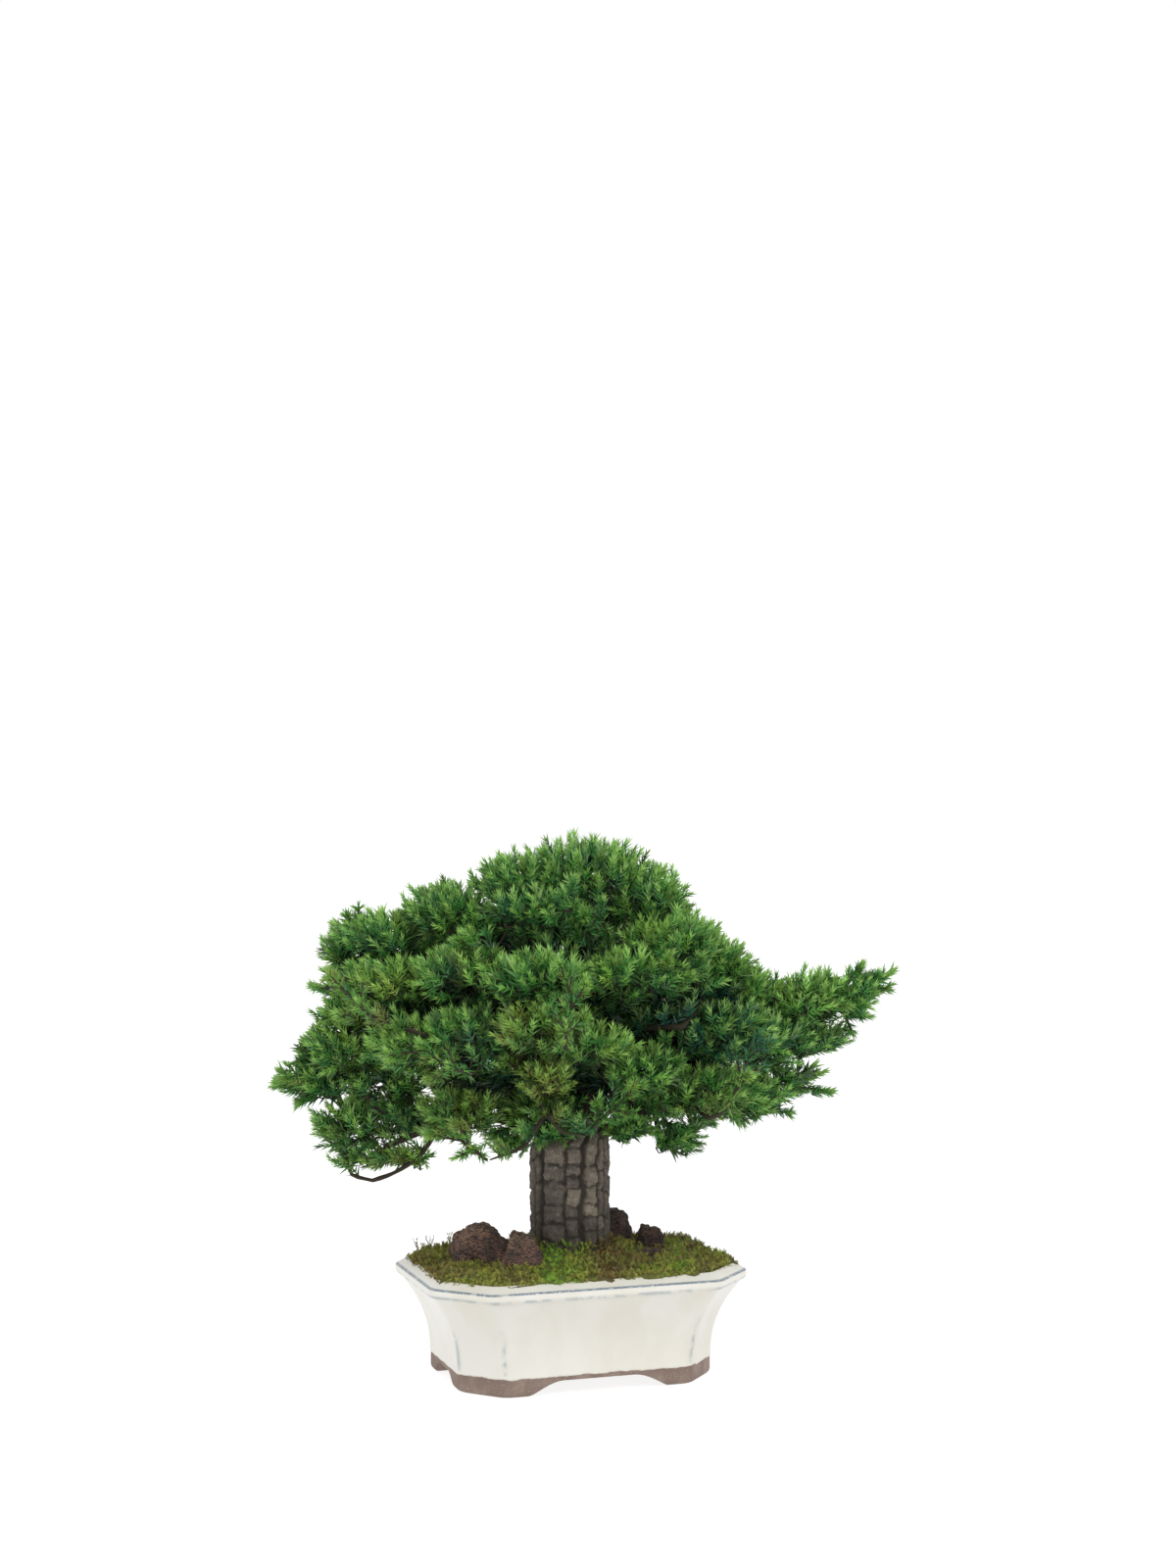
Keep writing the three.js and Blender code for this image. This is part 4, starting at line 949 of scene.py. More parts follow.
@dataclass
class Foliage:
    """The needled sprays: the frame's own shoots dressed in fine needles, and the leafy shoots between them."""

    shoots_per_mm2: float = 0.0172
    shoot_length_mm: float = 13.5
    underside: float = -0.25
    bare_underside: float = 0.6
    hollow_below: float = -0.42
    clump_mm: float = 13.0
    covered_share: float = 0.88
    turn_jitter: float = 0.25
    skin_jitter: tuple[float, float] = (-0.12, 0.04)
    fan_from: tuple[float, float] = (0.6, 0.7)
    pulls: tuple[float, float, float, float] = (0.3, 0.7, 0.2, 0.2)
    scatter: float = 0.26
    brightness: float = 0.66
    sky_light: float = 0.22
    clump_light: float = 0.35
    shade_jitter: float = 0.15
    middle_tone: float = 0.53
    tone_patches: tuple[tuple[float, float], ...] = ((24.0, 0.28), (9.0, 0.2))
    tone_jitter: float = 0.08
    strawest_tone: float = 0.94
    bough_shoots: int = 600
    bough_height_mm: float = 128.0
    bough_reach_mm: float = 27.0
    low_bough_reach_mm: float = 70.0
    bough_underside: float = -0.35
    bough_pulls: tuple[float, float, float, float] = (0.5, 0.5, 0.35, 0.4)
    bough_shade: tuple[float, float] = (0.3, 0.65)
    fringe_share: float = 0.45
    fringe_set_back_mm: float = 9.0
    fringe_shade: tuple[float, float] = (0.4, 0.8)
    tuft_shade: tuple[float, float] = (0.45, 0.85)
    bare_stretch_mm: float = 5.0
    bare_shade: tuple[float, float] = (0.35, 0.7)
    stem_mm: float = 0.5
    stem_gain: float = 0.008
    longest_gain_mm: float = 40.0
    stem_taper: float = 0.3
    knee_share: float = 0.45
    fork_step_mm: float = 5.0
    detour: float = 1.7
    shoot_mm: tuple[float, float] = (10.5, 14.5)
    shoot_whorls: int = 6
    shoot_size: tuple[float, float] = (0.85, 1.15)
    variants: int = 12
    inner_variants: int = 4
    seed: int = 7
    heart: tuple[float, float, float] = (8.0, 0.0, 168.0)
    trunk_clearance_mm: float = 31.0
    trunk_top_mm: float = 150.0

    def __post_init__(self) -> None:
        """Makes the stamps and the finishes."""
        self.rng = random.Random(self.seed)
        self.needles = JuniperNeedle().material()
        self.bark = TwigBark().material()
        self.nodes = sorted(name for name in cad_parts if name.startswith("spray_"))
        self.shoots = [LeafyShoot(self.rng.uniform(*self.shoot_mm), self.shoot_whorls).stamp(f"shoot_{i}", self.rng)
                       for i in range(self.variants)]
        inner = LeafyShoot(15.0, 5, needle=Needle(9.5, 2.7, 1.0))
        self.inner_shoots = [inner.stamp(f"inner_shoot_{i}", self.rng) for i in range(self.inner_variants)]
        self.tufts = [self.tuft(f"tuft_{i}") for i in range(self.inner_variants)]
        self.stem = self.stem_stamp()

    def tuft(self, name: str) -> Stamp:
        """Builds three needles that spread from one foot along +Z.

        Args:
            name: The mesh's name.

        Returns:
            The tuft as a stamp.
        """
        shape = with_tints(bmesh.new())
        needle = Needle()
        age = shape.verts.layers.float["age"]
        for third in range(3):
            azimuth = third * math.tau / 3 + self.rng.uniform(-0.5, 0.5)
            lean = self.rng.uniform(0.12, 0.42)
            direction = Vector((math.cos(azimuth) * math.sin(lean), math.sin(azimuth) * math.sin(lean), math.cos(lean)))
            for vertex in needle.add(shape, Vector(), direction, azimuth, self.rng.uniform(0.85, 1.1)):
                vertex[age] = 0.2 + vertex.co.z / (needle.length_mm * MM) * 0.8
        return Stamp(shape, name)

    def stem_stamp(self) -> Stamp:
        """Builds a straight three-sided stem of unit length in two steps.

        Returns:
            The stem as a stamp.
        """
        shape = with_tints(bmesh.new())
        add_column(shape, 3, 1)
        for face in shape.faces:
            face.material_index = 1
        return Stamp(shape, "stem")

    def shoots_of(self, layer: Layer) -> list[Shoot]:
        """Spreads shoots evenly over the outside of a layer's pads.

        Args:
            layer: The layer.

        Returns:
            The layer's shoots.
        """
        made = []
        for pad in layer.pads:
            count = round(pad.area() * layer.size ** 2 * self.shoots_per_mm2 * layer.density * pad.density)
            for index in range(count):
                shoot = self.shoot_on(pad, index, count, layer)
                if shoot is not None:
                    made.append(shoot)
        return made

    def shoot_on(self, pad: Pad, index: int, count: int, layer: Layer) -> Shoot | None:
        """Places one shoot on a pad, unless another pad covers it.

        Args:
            pad: The pad.
            index: The shoot's number on it.
            count: How many numbers the pad has.
            layer: The layer.

        Returns:
            The shoot, or None where it would be covered, or hang under the pad or beside the trunk.
        """
        upright = 1 - 2 * (index + 0.5) / count
        across = math.sqrt(1 - upright ** 2)
        angle = index * GOLDEN_ANGLE + self.rng.uniform(-self.turn_jitter, self.turn_jitter)
        way = Vector((across * math.cos(angle), across * math.sin(angle), upright))
        tip = pad.skin(way * layer.size * (1 + self.rng.uniform(*self.skin_jitter)))
        clump = noise.noise(tip / self.clump_mm + UP * 3)
        if layer is Layer.OUTER and clump < self.hollow_below:
            return None
        if any(other.holds(tip, layer.size * self.covered_share) for other in layer.pads if other is not pad):
            return None
        if way.z < self.underside and self.rng.random() < self.bare_underside:
            return None
        heart = Vector(self.heart)
        outward = (pad.middle() - heart).normalized()
        inward, down = self.fan_from
        fan = tip - (pad.middle() - outward * pad.half_width * inward - UP * pad.half_height * down)
        scatter = Vector([self.rng.uniform(-1, 1) for _ in range(3)]) * self.scatter
        off_skin, off_fan, off_heart, up = self.pulls
        direction = (pad.normal(way) * off_skin + fan.normalized() * off_fan + (tip - heart).normalized() * off_heart
                     + UP * up + scatter).normalized()
        foot = tip - direction * self.shoot_length_mm
        if math.hypot(foot.x, foot.y) < self.trunk_clearance_mm and foot.z < self.trunk_top_mm:
            return None
        tone = self.tone_of(pad, tip)
        # Painted light and shade: pad tops lighter; undersides, inner layers and hollows between clumps darker.
        shade = (self.brightness + layer.shade + self.sky_light * way.z + clump * self.clump_light
                 + self.rng.gauss(0, self.shade_jitter))
        shade = min(max(shade, 0.0), 1.0)
        turned = Matrix.Rotation(FRONT_TURN, 3, "Z")
        return Shoot(front_point(*foot), turned @ direction, tone, shade, layer is Layer.OUTER)

    def tone_of(self, pad: Pad, place: Vector) -> float:
        """The needles' tone on a pad, which drifts from shoot to shoot.

        Args:
            pad: The pad.
            place: The place in the front view.

        Returns:
            The tone, from 0 for blue-green to 1 for straw.
        """
        patch = clouds(place, *self.tone_patches)
        tone = self.middle_tone + pad.tone + patch + self.rng.gauss(0, self.tone_jitter)
        return min(max(tone, 0.0), self.strawest_tone)

    def stands_out(self, point: Vector) -> bool:
        """Whether a point of the frame lies outside every pad."""
        place = front_view(point)
        return not any(pad.holds(place, 0.97) for pad in Layer.OUTER.pads)

    def tone_near(self, point: Vector) -> float:
        """The needles' tone at a point of the frame, which follows the nearest pad."""
        place = front_view(point)
        return self.tone_of(min(Layer.OUTER.pads, key=lambda pad: pad.distance(place)), place)

    def build(self) -> None:
        """Builds every spray as one piece that stands for its node."""
        cores = {name: self.core(name) for name in self.nodes}
        tree = kdtree.KDTree(sum(len(shape.verts) for shape, _ in cores.values()))
        owners = []
        for name, (shape, _) in cores.items():
            for vertex in shape.verts:
                tree.insert(vertex.co, len(owners))
                owners.append(name)
        tree.balance()
        groups = {name: [] for name in self.nodes}
        for shoot in [shoot for layer in Layer for shoot in self.shoots_of(layer)]:
            groups[owners[tree.find(shoot.foot)[1]]].append(shoot)
        LOG.info("leafy shoots: %d", sum(len(group) for group in groups.values()))
        boughs = {name: [] for name in self.nodes}
        for shoot in self.shoots_on_boughs():
            boughs[owners[tree.find(shoot.foot)[1]]].append(shoot)
        for name, (shape, needles) in cores.items():
            self.dress(shape, needles)
            self.branch_out(shape, groups[name])
            for shoot in boughs[name]:
                self.press(shape, shoot)
            place_piece(f"{name}_foliage", shape, (self.needles, self.bark), "needles", name, smooth=False)

    def shoots_on_boughs(self) -> list[Shoot]:
        """Spreads short shoots along the frame's boughs, out beyond the trunk.

        Returns:
            The shoots.
        """
        shape = merged_copy("wood")
        shape.normal_update()
        faces = []
        for face in shape.faces:
            middle = face.calc_center_median()
            from_trunk = math.hypot(middle.x, middle.y)
            reach = self.bough_reach_mm if middle.z > self.bough_height_mm * MM else self.low_bough_reach_mm
            if from_trunk > reach * MM and face.normal.z > self.bough_underside:
                faces.append(face)
        made = []
        off_skin, off_heart, up, any_way = self.bough_pulls
        for face in self.rng.choices(faces, weights=[face.calc_area() for face in faces], k=self.bough_shoots):
            foot = face.calc_center_median()
            outward = (foot - CROWN_FOOT).normalized()
            scatter = Vector([self.rng.uniform(-1, 1) for _ in range(3)]) * any_way
            direction = (face.normal * off_skin + outward * off_heart + UP * up + scatter).normalized()
            made.append(Shoot(foot.copy(), direction, self.tone_near(foot), self.rng.uniform(*self.bough_shade)))
        shape.free()
        return made

    def press(self, shape: bmesh.types.BMesh, shoot: Shoot) -> None:
        """Adds one leafy shoot.

        Args:
            shape: The spray's shape, which grows.
            shoot: The shoot.
        """
        stamp = self.rng.choice(self.shoots if shoot.fine else self.inner_shoots)
        place = aimed(shoot.foot, shoot.direction, self.rng.uniform(0, math.tau), self.rng.uniform(*self.shoot_size))
        stamp.press(shape, place, tone=shoot.tone, shade=shoot.shade)

    def core(self, name: str) -> tuple[bmesh.types.BMesh, list[tuple[Vector, Vector]]]:
        """Takes a node's slim core, without its needles.

        Args:
            name: The node's name.

        Returns:
            The core as a shape, and each needle's foot and point.
        """
        shape = with_tints(merged_copy(name))
        points = [vertex for vertex in shape.verts if len(vertex.link_edges) == 3]
        needles = []
        for point in points:
            corners = [edge.other_vert(point).co for edge in point.link_edges]
            needles.append((sum(corners, Vector()) / 3, point.co.copy()))
        bmesh.ops.dissolve_verts(shape, verts=points)
        for face in shape.faces:
            face.material_index = 1
        return shape, needles

    def dress(self, shape: bmesh.types.BMesh, needles: list[tuple[Vector, Vector]]) -> None:
        """Puts a tuft of fine needles in each needle's place, and more along the bare stretches.

        Args:
            shape: The spray's core, which grows.
            needles: Each needle's foot and point.
        """
        shape.faces.ensure_lookup_table()
        root = min((foot for foot, _ in needles), key=lambda foot: foot.length) if needles else Vector()
        bare = []
        for face in shape.faces:
            edge = max(face.edges, key=lambda e: e.calc_length())
            if edge.calc_length() > self.bare_stretch_mm * MM:
                along = (edge.verts[1].co - edge.verts[0].co).normalized()
                middle = face.calc_center_median()
                bare.append((middle, face.normal.copy(), along if along.dot(middle - root) > 0 else -along))
        for foot, point in needles:
            if self.stands_out(point) and self.rng.random() < self.fringe_share:
                lean = ((point - foot).normalized() * 0.8 + (foot - CROWN_FOOT).normalized()).normalized()
                behind = foot - lean * self.fringe_set_back_mm * MM
                self.press(shape, Shoot(behind, lean, self.tone_near(foot), self.rng.uniform(*self.fringe_shade)))
                continue
            place = aimed(foot, (point - foot).normalized(), self.rng.uniform(0, math.tau))
            self.rng.choice(self.tufts).press(shape, place, tone=self.tone_near(foot),
                                              shade=self.rng.uniform(*self.tuft_shade))
        for middle, normal, along in bare:
            direction = (along * 0.75 + normal * 0.65).normalized()
            place = aimed(middle + along * self.rng.uniform(-2.5, 2.5) * MM, direction, self.rng.uniform(0, math.tau))
            self.rng.choice(self.tufts).press(shape, place, tone=self.tone_near(middle),
                                              shade=self.rng.uniform(*self.bare_shade))

    def branch_out(self, shape: bmesh.types.BMesh, shoots: list[Shoot]) -> None:
        """Grows a stem to every shoot from the nearest wood behind it, and then the shoot.

        Args:
            shape: The spray's shape, which grows.
            shoots: The shoots that belong to it.
        """
        grown = [np.array([vertex.co for vertex in shape.verts if vertex.link_faces[0].material_index == 1])]
        root = Vector(grown[0].mean(0))
        for shoot in sorted(shoots, key=lambda item: (item.foot - root).length):
            nodes = np.concatenate(grown)
            away = np.array(shoot.foot) - nodes
            distance = np.linalg.norm(away, axis=1) + 1e-6
            cost = distance * (self.detour - (away @ np.array(shoot.direction)) / distance)
            start = Vector(nodes[int(cost.argmin())])
            span = (shoot.foot - start).length
            knee = shoot.foot - shoot.direction * span * self.knee_share
            self.bent_stem(shape, start, knee, shoot, span)
            stations = [start.lerp(knee, 0.7).lerp(knee.lerp(shoot.foot, 0.7), 0.7)]
            stations += [shoot.foot + shoot.direction * step * MM for step in (0.0, self.fork_step_mm)]
            grown.append(np.array(stations))
            self.press(shape, shoot)

    def bent_stem(self, shape: bmesh.types.BMesh, start: Vector, knee: Vector, shoot: Shoot, span: float) -> None:
        """Adds a stem that leaves the wood towards the knee and arrives along the shoot.

        Args:
            shape: The spray's shape, which grows.
            start: Where the stem leaves the wood.
            knee: The bend's control point.
            shoot: The shoot that it carries.
            span: The straight distance from start to foot.
        """
        points = np.empty_like(self.stem.points)
        thickness = (self.stem_mm + min(span / MM, self.longest_gain_mm) * self.stem_gain) * MM
        for index, (x, y, z) in enumerate(self.stem.points):
            share = float(z)
            centre = start.lerp(knee, share).lerp(knee.lerp(shoot.foot, share), share)
            along = ((knee - start) * (1 - share) + (shoot.foot - knee) * share).normalized()
            side = along.orthogonal().normalized()
            radius = thickness * (1 - self.stem_taper * share)
            points[index] = centre + side * float(x) * radius + along.cross(side) * float(y) * radius
        self.stem.press_points(shape, points, tone=0.5, shade=0.5, age=0.0)


@dataclass(frozen=True)
class PlateColumn:
    """One upright row of bark plates, to the right of its furrow as seen from the viewing front."""

    start_deg: float
    furrow_mm: float
    cracks_mm: tuple[float, ...]
    tones: tuple[float, ...]


FRONT_COLUMNS = (
    PlateColumn(-80, 0.8, (70, 92, 113, 131), (0.35, 0.45, 0.5, 0.55, 0.6)),
    PlateColumn(-62, 0.9, (80, 99, 118, 134), (0.3, 0.4, 0.42, 0.55, 0.55)),
    PlateColumn(-47, 3.2, (82, 93, 105, 119, 129.4, 146), (0.2, 0.3, 0.22, 0.2, 0.42, 0.72, 0.7)),
    PlateColumn(-7, 1.1, (86, 97, 105, 115.5, 122, 129.4, 140), (0.3, 0.28, 0.42, 0.8, 0.3, 0.45, 0.6, 0.7)),
    PlateColumn(19, 3.0, (80, 89, 97, 104.5, 116.5, 128), (0.2, 0.3, 0.3, 0.98, 0.92, 0.72, 0.76)),
    PlateColumn(47, 1.1, (78, 88, 97, 112, 124), (0.2, 0.3, 0.85, 0.4, 0.45, 0.6)),
    PlateColumn(61, 0.8, (74, 95, 110, 127), (0.35, 0.6, 0.5, 0.5, 0.6)),
    PlateColumn(77, 0.8, (81, 103, 121, 140), (0.4, 0.5, 0.45, 0.55, 0.6)),
)


@dataclass
class Bark:
    """The trunk's bark: upright rows of plates between furrows, cracked across, and curled at their edges."""

    radius_mm: float
    seed: int = 5
    plate_mm: tuple[float, float] = (8, 15)
    column_deg: tuple[float, float] = (22, 33)
    furrows_mm: tuple[float, ...] = (1.0, 1.2, 2.8)
    tones: tuple[float, ...] = (0.25, 0.35, 0.5, 0.6, 0.85)
    half_crack_mm: float = 0.45
    furrow_edge_mm: float = 2.6
    crack_edge_mm: float = 2.0
    corner_power: float = 2.6
    furrow_depth: float = 0.45

    def __post_init__(self) -> None:
        """Lays out the plates all round, by rule where the viewing front doesn't show them."""
        rng = random.Random(self.seed)
        self.columns = list(FRONT_COLUMNS)
        start = 95.0
        while start < 262:
            cracks = [62 + rng.uniform(0, 8)]
            while cracks[-1] < 150:
                cracks.append(cracks[-1] + rng.uniform(*self.plate_mm))
            tones = tuple(rng.choice(self.tones) for _ in range(len(cracks) + 1))
            self.columns.append(PlateColumn(start, rng.choice(self.furrows_mm), tuple(cracks), tones))
            start += rng.uniform(*self.column_deg)

    def place(self, azimuth_deg: float, height_mm: float) -> tuple[float, float, float]:
        """Finds the plate at a place.

        Args:
            azimuth_deg: Round the trunk from the viewing front, from -80 to 280.
            height_mm: Above the table.

        Returns:
            Closeness to the plate's edge, where 1 is the crack's own edge, the crack's depth in millimetres, and the
            plate's tone.
        """
        index = max(i for i, column in enumerate(self.columns) if column.start_deg <= azimuth_deg)
        column = self.columns[index]
        following = self.columns[(index + 1) % len(self.columns)]
        end_deg = following.start_deg + (360 if index + 1 == len(self.columns) else 0)
        to_mm = math.radians(self.radius_mm)
        left = (azimuth_deg - column.start_deg) * to_mm - column.furrow_mm / 2
        right = (end_deg - azimuth_deg) * to_mm - following.furrow_mm / 2
        row = sum(crack < height_mm for crack in column.cracks_mm)
        nearest = min(abs(height_mm - crack) for crack in column.cracks_mm) - self.half_crack_mm
        beside = 1 - min(left, right) / self.furrow_edge_mm
        across = 1 - nearest / self.crack_edge_mm
        edge = (max(beside, 0) ** self.corner_power + max(across, 0) ** self.corner_power) ** (1 / self.corner_power)
        furrow = column.furrow_mm if left < right else following.furrow_mm
        depth = 1.0 + self.furrow_depth * furrow if beside > across else 1.0
        return edge, depth, column.tones[row]

    def relief(self, azimuth_deg: float, height_mm: float) -> tuple[float, float, float]:
        """The bark's relief at a place on the trunk.

        Args:
            azimuth_deg: Round the trunk from the viewing front.
            height_mm: Above the table.

        Returns:
            How far the bark stands out in millimetres, how deep in a crack the place is, from 0 to 1, and its tone.
        """
        angle = math.radians(azimuth_deg)
        point = Vector((self.radius_mm * math.cos(angle), self.radius_mm * math.sin(angle), height_mm))
        wander = clouds(point, (9.0, 5.0), (2.6, 1.6))
        climb = noise.noise(point / 8.0 + UP * 7) * 4.0 + noise.noise(point / 2.6 - UP * 7) * 1.4
        turned = (azimuth_deg + wander / math.radians(self.radius_mm) * 0.42 + 80) % 360 - 80
        edge, depth, tone = self.place(turned, height_mm + climb * 0.7)
        ragged = clouds(point, (1.7, 0.22), (4.0, 0.25))
        crack = smoothstep(0.66, 1.12, edge + ragged)
        dome = 1 - smoothstep(0.1, 1.0, edge + ragged)
        curls = abs((noise.noise(point / 3.2) * 4.0) % 1.0 - 0.5) * 2
        lumps = clouds(point, (5.0, 0.7), (2.2, 0.35))
        relief = 0.55 * dome + 0.6 * curls * (1 - crack) + lumps + 0.5 * (tone - 0.5) - depth * 0.85 * crack
        return relief - 0.45, crack * 0.9, tone + noise.noise(point / 3.0 + UP * 11) * 0.35


@dataclass
class Wood:
    """The trunk with its bark in plates, and the boughs and twigs above it."""

    radius_mm: float = 24.0
    flare_mm: float = 2.0
    flare_reach_mm: float = 9.0
    drawn_share: float = 0.56
    lean_mm: float = 11.5
    foot_mm: float = 30.0
    soil_mm: float = 59.0
    shoulder_mm: float = 138.0
    top_mm: float = 155.0
    sides: int = 190
    levels: int = 118
    fork_mm: float = 151.6
    bark_mm: float = 1.2
    sunk_towards: tuple[float, float, float] = (8.0, 0.0, 132.0)
    sunk_mm: float = 4.0
    longest_mm: float = 2.5

    def trunk_radius(self, height: float) -> tuple[float, float]:
        """The plain trunk at a height.

        Args:
            height: In millimetres above the table.

        Returns:
            Its radius, and how far it has leaned across, in millimetres.
        """
        flare = self.flare_mm * math.exp(-abs(height - self.soil_mm) / self.flare_reach_mm)
        drawn = smoothstep(self.shoulder_mm, self.top_mm - 1, height)
        radius = self.radius_mm * (1 - self.drawn_share * drawn) + flare
        return radius, self.lean_mm * drawn

    def build(self) -> None:
        """Builds the trunk and the boughs as one piece."""
        shape = self.trunk()
        mesh = finished_mesh("boughs", self.boughs())
        shape.from_mesh(mesh)
        bpy.data.meshes.remove(mesh)
        finishes = (JuniperBark().material(), TwigBark().material())
        place_piece("barked_wood", shape, finishes, "bark", "wood")

    def trunk(self) -> bmesh.types.BMesh:
        """Builds the trunk's barked column.

        Returns:
            The column.
        """
        shape = bmesh.new()
        crack = shape.verts.layers.float.new("crack")
        tone = shape.verts.layers.float.new("tone")
        bark = Bark(self.radius_mm)
        front = FRONT_TURN - math.pi / 2
        add_column(shape, self.sides, self.levels)
        for vertex in shape.verts:
            height = self.foot_mm + (self.top_mm - self.foot_mm) * vertex.co.z
            angle = math.atan2(vertex.co.y, vertex.co.x)
            radius, lean = self.trunk_radius(height)
            azimuth = (math.degrees(angle - front) + 80) % 360 - 80
            relief, vertex[crack], vertex[tone] = bark.relief(azimuth, height)
            fade = 1 - smoothstep(self.shoulder_mm, self.top_mm, height)
            reach = radius + relief * (0.35 + 0.65 * fade)
            vertex.co = front_point(lean, 0, height) + Vector((math.cos(angle), math.sin(angle), 0)) * reach * MM
        return shape

    def boughs(self) -> bmesh.types.BMesh:
        """Takes the boughs and twigs from the frame, parts them from its trunk and rounds them.

        Returns:
            The boughs, closed again inside the trunk.
        """
        shape = merged_copy("wood")
        trunk_faces = []
        for face in shape.faces:
            middle = face.calc_center_median()
            radius, lean = self.trunk_radius(middle.z / MM)
            axis = front_point(lean, 0, middle.z / MM)
            if middle.z < self.fork_mm * MM and (middle - axis).length < (radius + self.bark_mm) * MM:
                trunk_faces.append(face)
        bmesh.ops.delete(shape, geom=trunk_faces, context="FACES")
        rims = [edge for edge in shape.edges if edge.is_boundary]
        sunk = bmesh.ops.extrude_edge_only(shape, edges=rims)
        for vertex in vertices_in(sunk["geom"]):
            inward = (front_point(*self.sunk_towards) - vertex.co).normalized()
            vertex.co += inward * self.sunk_mm * MM
        bmesh.ops.holes_fill(shape, edges=[edge for edge in shape.edges if edge.is_boundary], sides=0)
        bmesh.ops.triangulate(shape, faces=[face for face in shape.faces if len(face.verts) > 4])
        long_edges = [edge for edge in shape.edges if edge.calc_length() > self.longest_mm * MM]
        bmesh.ops.subdivide_edges(shape, edges=long_edges, cuts=2, use_grid_fill=True, smooth=0.0)
        ease(shape, 0.35)
        for name in ("crack", "tone"):
            shape.verts.layers.float.new(name)
        shape.normal_update()
        for vertex in shape.verts:
            knot = clouds(vertex.co, (7 * MM, 0.5), (2.5 * MM, 0.3))
            vertex.co += vertex.normal * knot * MM
        for face in shape.faces:
            face.material_index = 1
        return shape


@dataclass
class LavaStones:
    """The five loose lava stones, each the frame's lump broken up by grain, ridges and pits."""

    ridge_mm: float = 1.3
    grain_mm: float = 0.7
    scoop_mm: float = 3.5
    scoop_at: tuple[float, float, float] = (-66.0, -20.0, 86.0)
    scoop_reach_mm: float = 6.5
    longest_mm: float = 1.5
    nodes: tuple[str, ...] = ("stone_left", "stone_wedge", "stone_right", "stone_small", "stone_low")
    dark_nodes: tuple[str, ...] = ("stone_right", "stone_small", "stone_low")
    sloped_node: str = "stone_wedge"
    slope_mm: tuple[float, float] = (-30.0, -6.0)
    slope_drop: float = 0.62
    grown: tuple[tuple[str, tuple[float, float, float], tuple[float, float, float]], ...] = (
        ("stone_left", (1.3, 1.3, 1.05), (2.5, -6.0, 1.0)),
        ("stone_wedge", (2.05, 1.8, 1.34), (4.5, -3.0, 0.0)),
        ("stone_right", (1.05, 1.0, 1.0), (1.0, 0.0, 0.0)),
        ("stone_small", (1.1, 1.1, 1.06), (0.0, 0.0, 0.0)),
    )

    def build(self) -> None:
        """Builds each stone as its own piece."""
        rusty = LavaRock().material("rusty_lava_rock")
        black = LavaRock(darkness=0.62).material("black_lava_rock")
        for name in self.nodes:
            finish = black if name in self.dark_nodes else rusty
            place_piece(f"{name}_rock", self.shape(name), (finish,), "lava_stone", name)

    def shape(self, name: str) -> bmesh.types.BMesh:
        """Roughens one stone.

        Args:
            name: The stone's node.

        Returns:
            The stone's shape, flat where it sits.
        """
        shape = merged_copy(name)
        bottom = min(vertex.co.z for vertex in shape.verts)
        self.grow(shape, name, bottom)
        top = max(vertex.co.z for vertex in shape.verts)
        refine(shape, self.longest_mm, 4)
        ease(shape, 0.5, 2)
        crest = shape.verts.layers.float.new("crest")
        shape.normal_update()
        scoop = front_point(*self.scoop_at)
        moves = []
        for vertex in shape.verts:
            place = vertex.co / MM
            level = Vector((place.x, place.y, place.z * 3.0))
            ridges = noise.noise(place / 7.0) * self.ridge_mm + (1 - abs(noise.noise(place / 3.5)) * 2.4) * 0.6
            grain = clouds(level, (3.2, self.grain_mm), (1.4, 0.4))
            hollow = self.scoop_mm * math.exp(-((vertex.co - scoop).length / (self.scoop_reach_mm * MM)) ** 2)
            moves.append(vertex.normal * (ridges + grain + 0.5 - hollow) * MM)
            # crest: painted highlight on the stone's top, and tan in the scoop.
            vertex[crest] = max(smoothstep(0.6, 1.0, (vertex.co.z - bottom) / (top - bottom)) * 0.7,
                                smoothstep(0.25, 2.2, hollow))
        for vertex, move in zip(shape.verts, moves):
            if vertex.co.z > bottom + 0.5 * MM:
                vertex.co += move
            vertex.co.z = max(vertex.co.z, bottom)
        return shape

    def grow(self, shape: bmesh.types.BMesh, name: str, bottom: float) -> None:
        """Fills a lump out to the photographed stone's reach, about its own middle in the tree's front view.

        Args:
            shape: The stone's shape.
            name: Its node.
            bottom: The height of its foot, which stays.
        """
        for node, scale, shift in self.grown:
            if node != name:
                continue
            turn = Matrix.Rotation(FRONT_TURN, 4, "Z")
            middle = sum((vertex.co for vertex in shape.verts), Vector()) / len(shape.verts)
            middle.z = bottom
            move = (Matrix.Translation(middle) @ turn @ Matrix.Translation(Vector(shift) * MM)
                    @ Matrix.Diagonal((*scale, 1)) @ turn.inverted() @ Matrix.Translation(-middle))
            bmesh.ops.transform(shape, matrix=move, verts=shape.verts)
        if name == self.sloped_node:
            for vertex in shape.verts:
                across = front_view(vertex.co).x
                vertex.co.z -= (vertex.co.z - bottom) * self.slope_drop * smoothstep(*self.slope_mm, across)


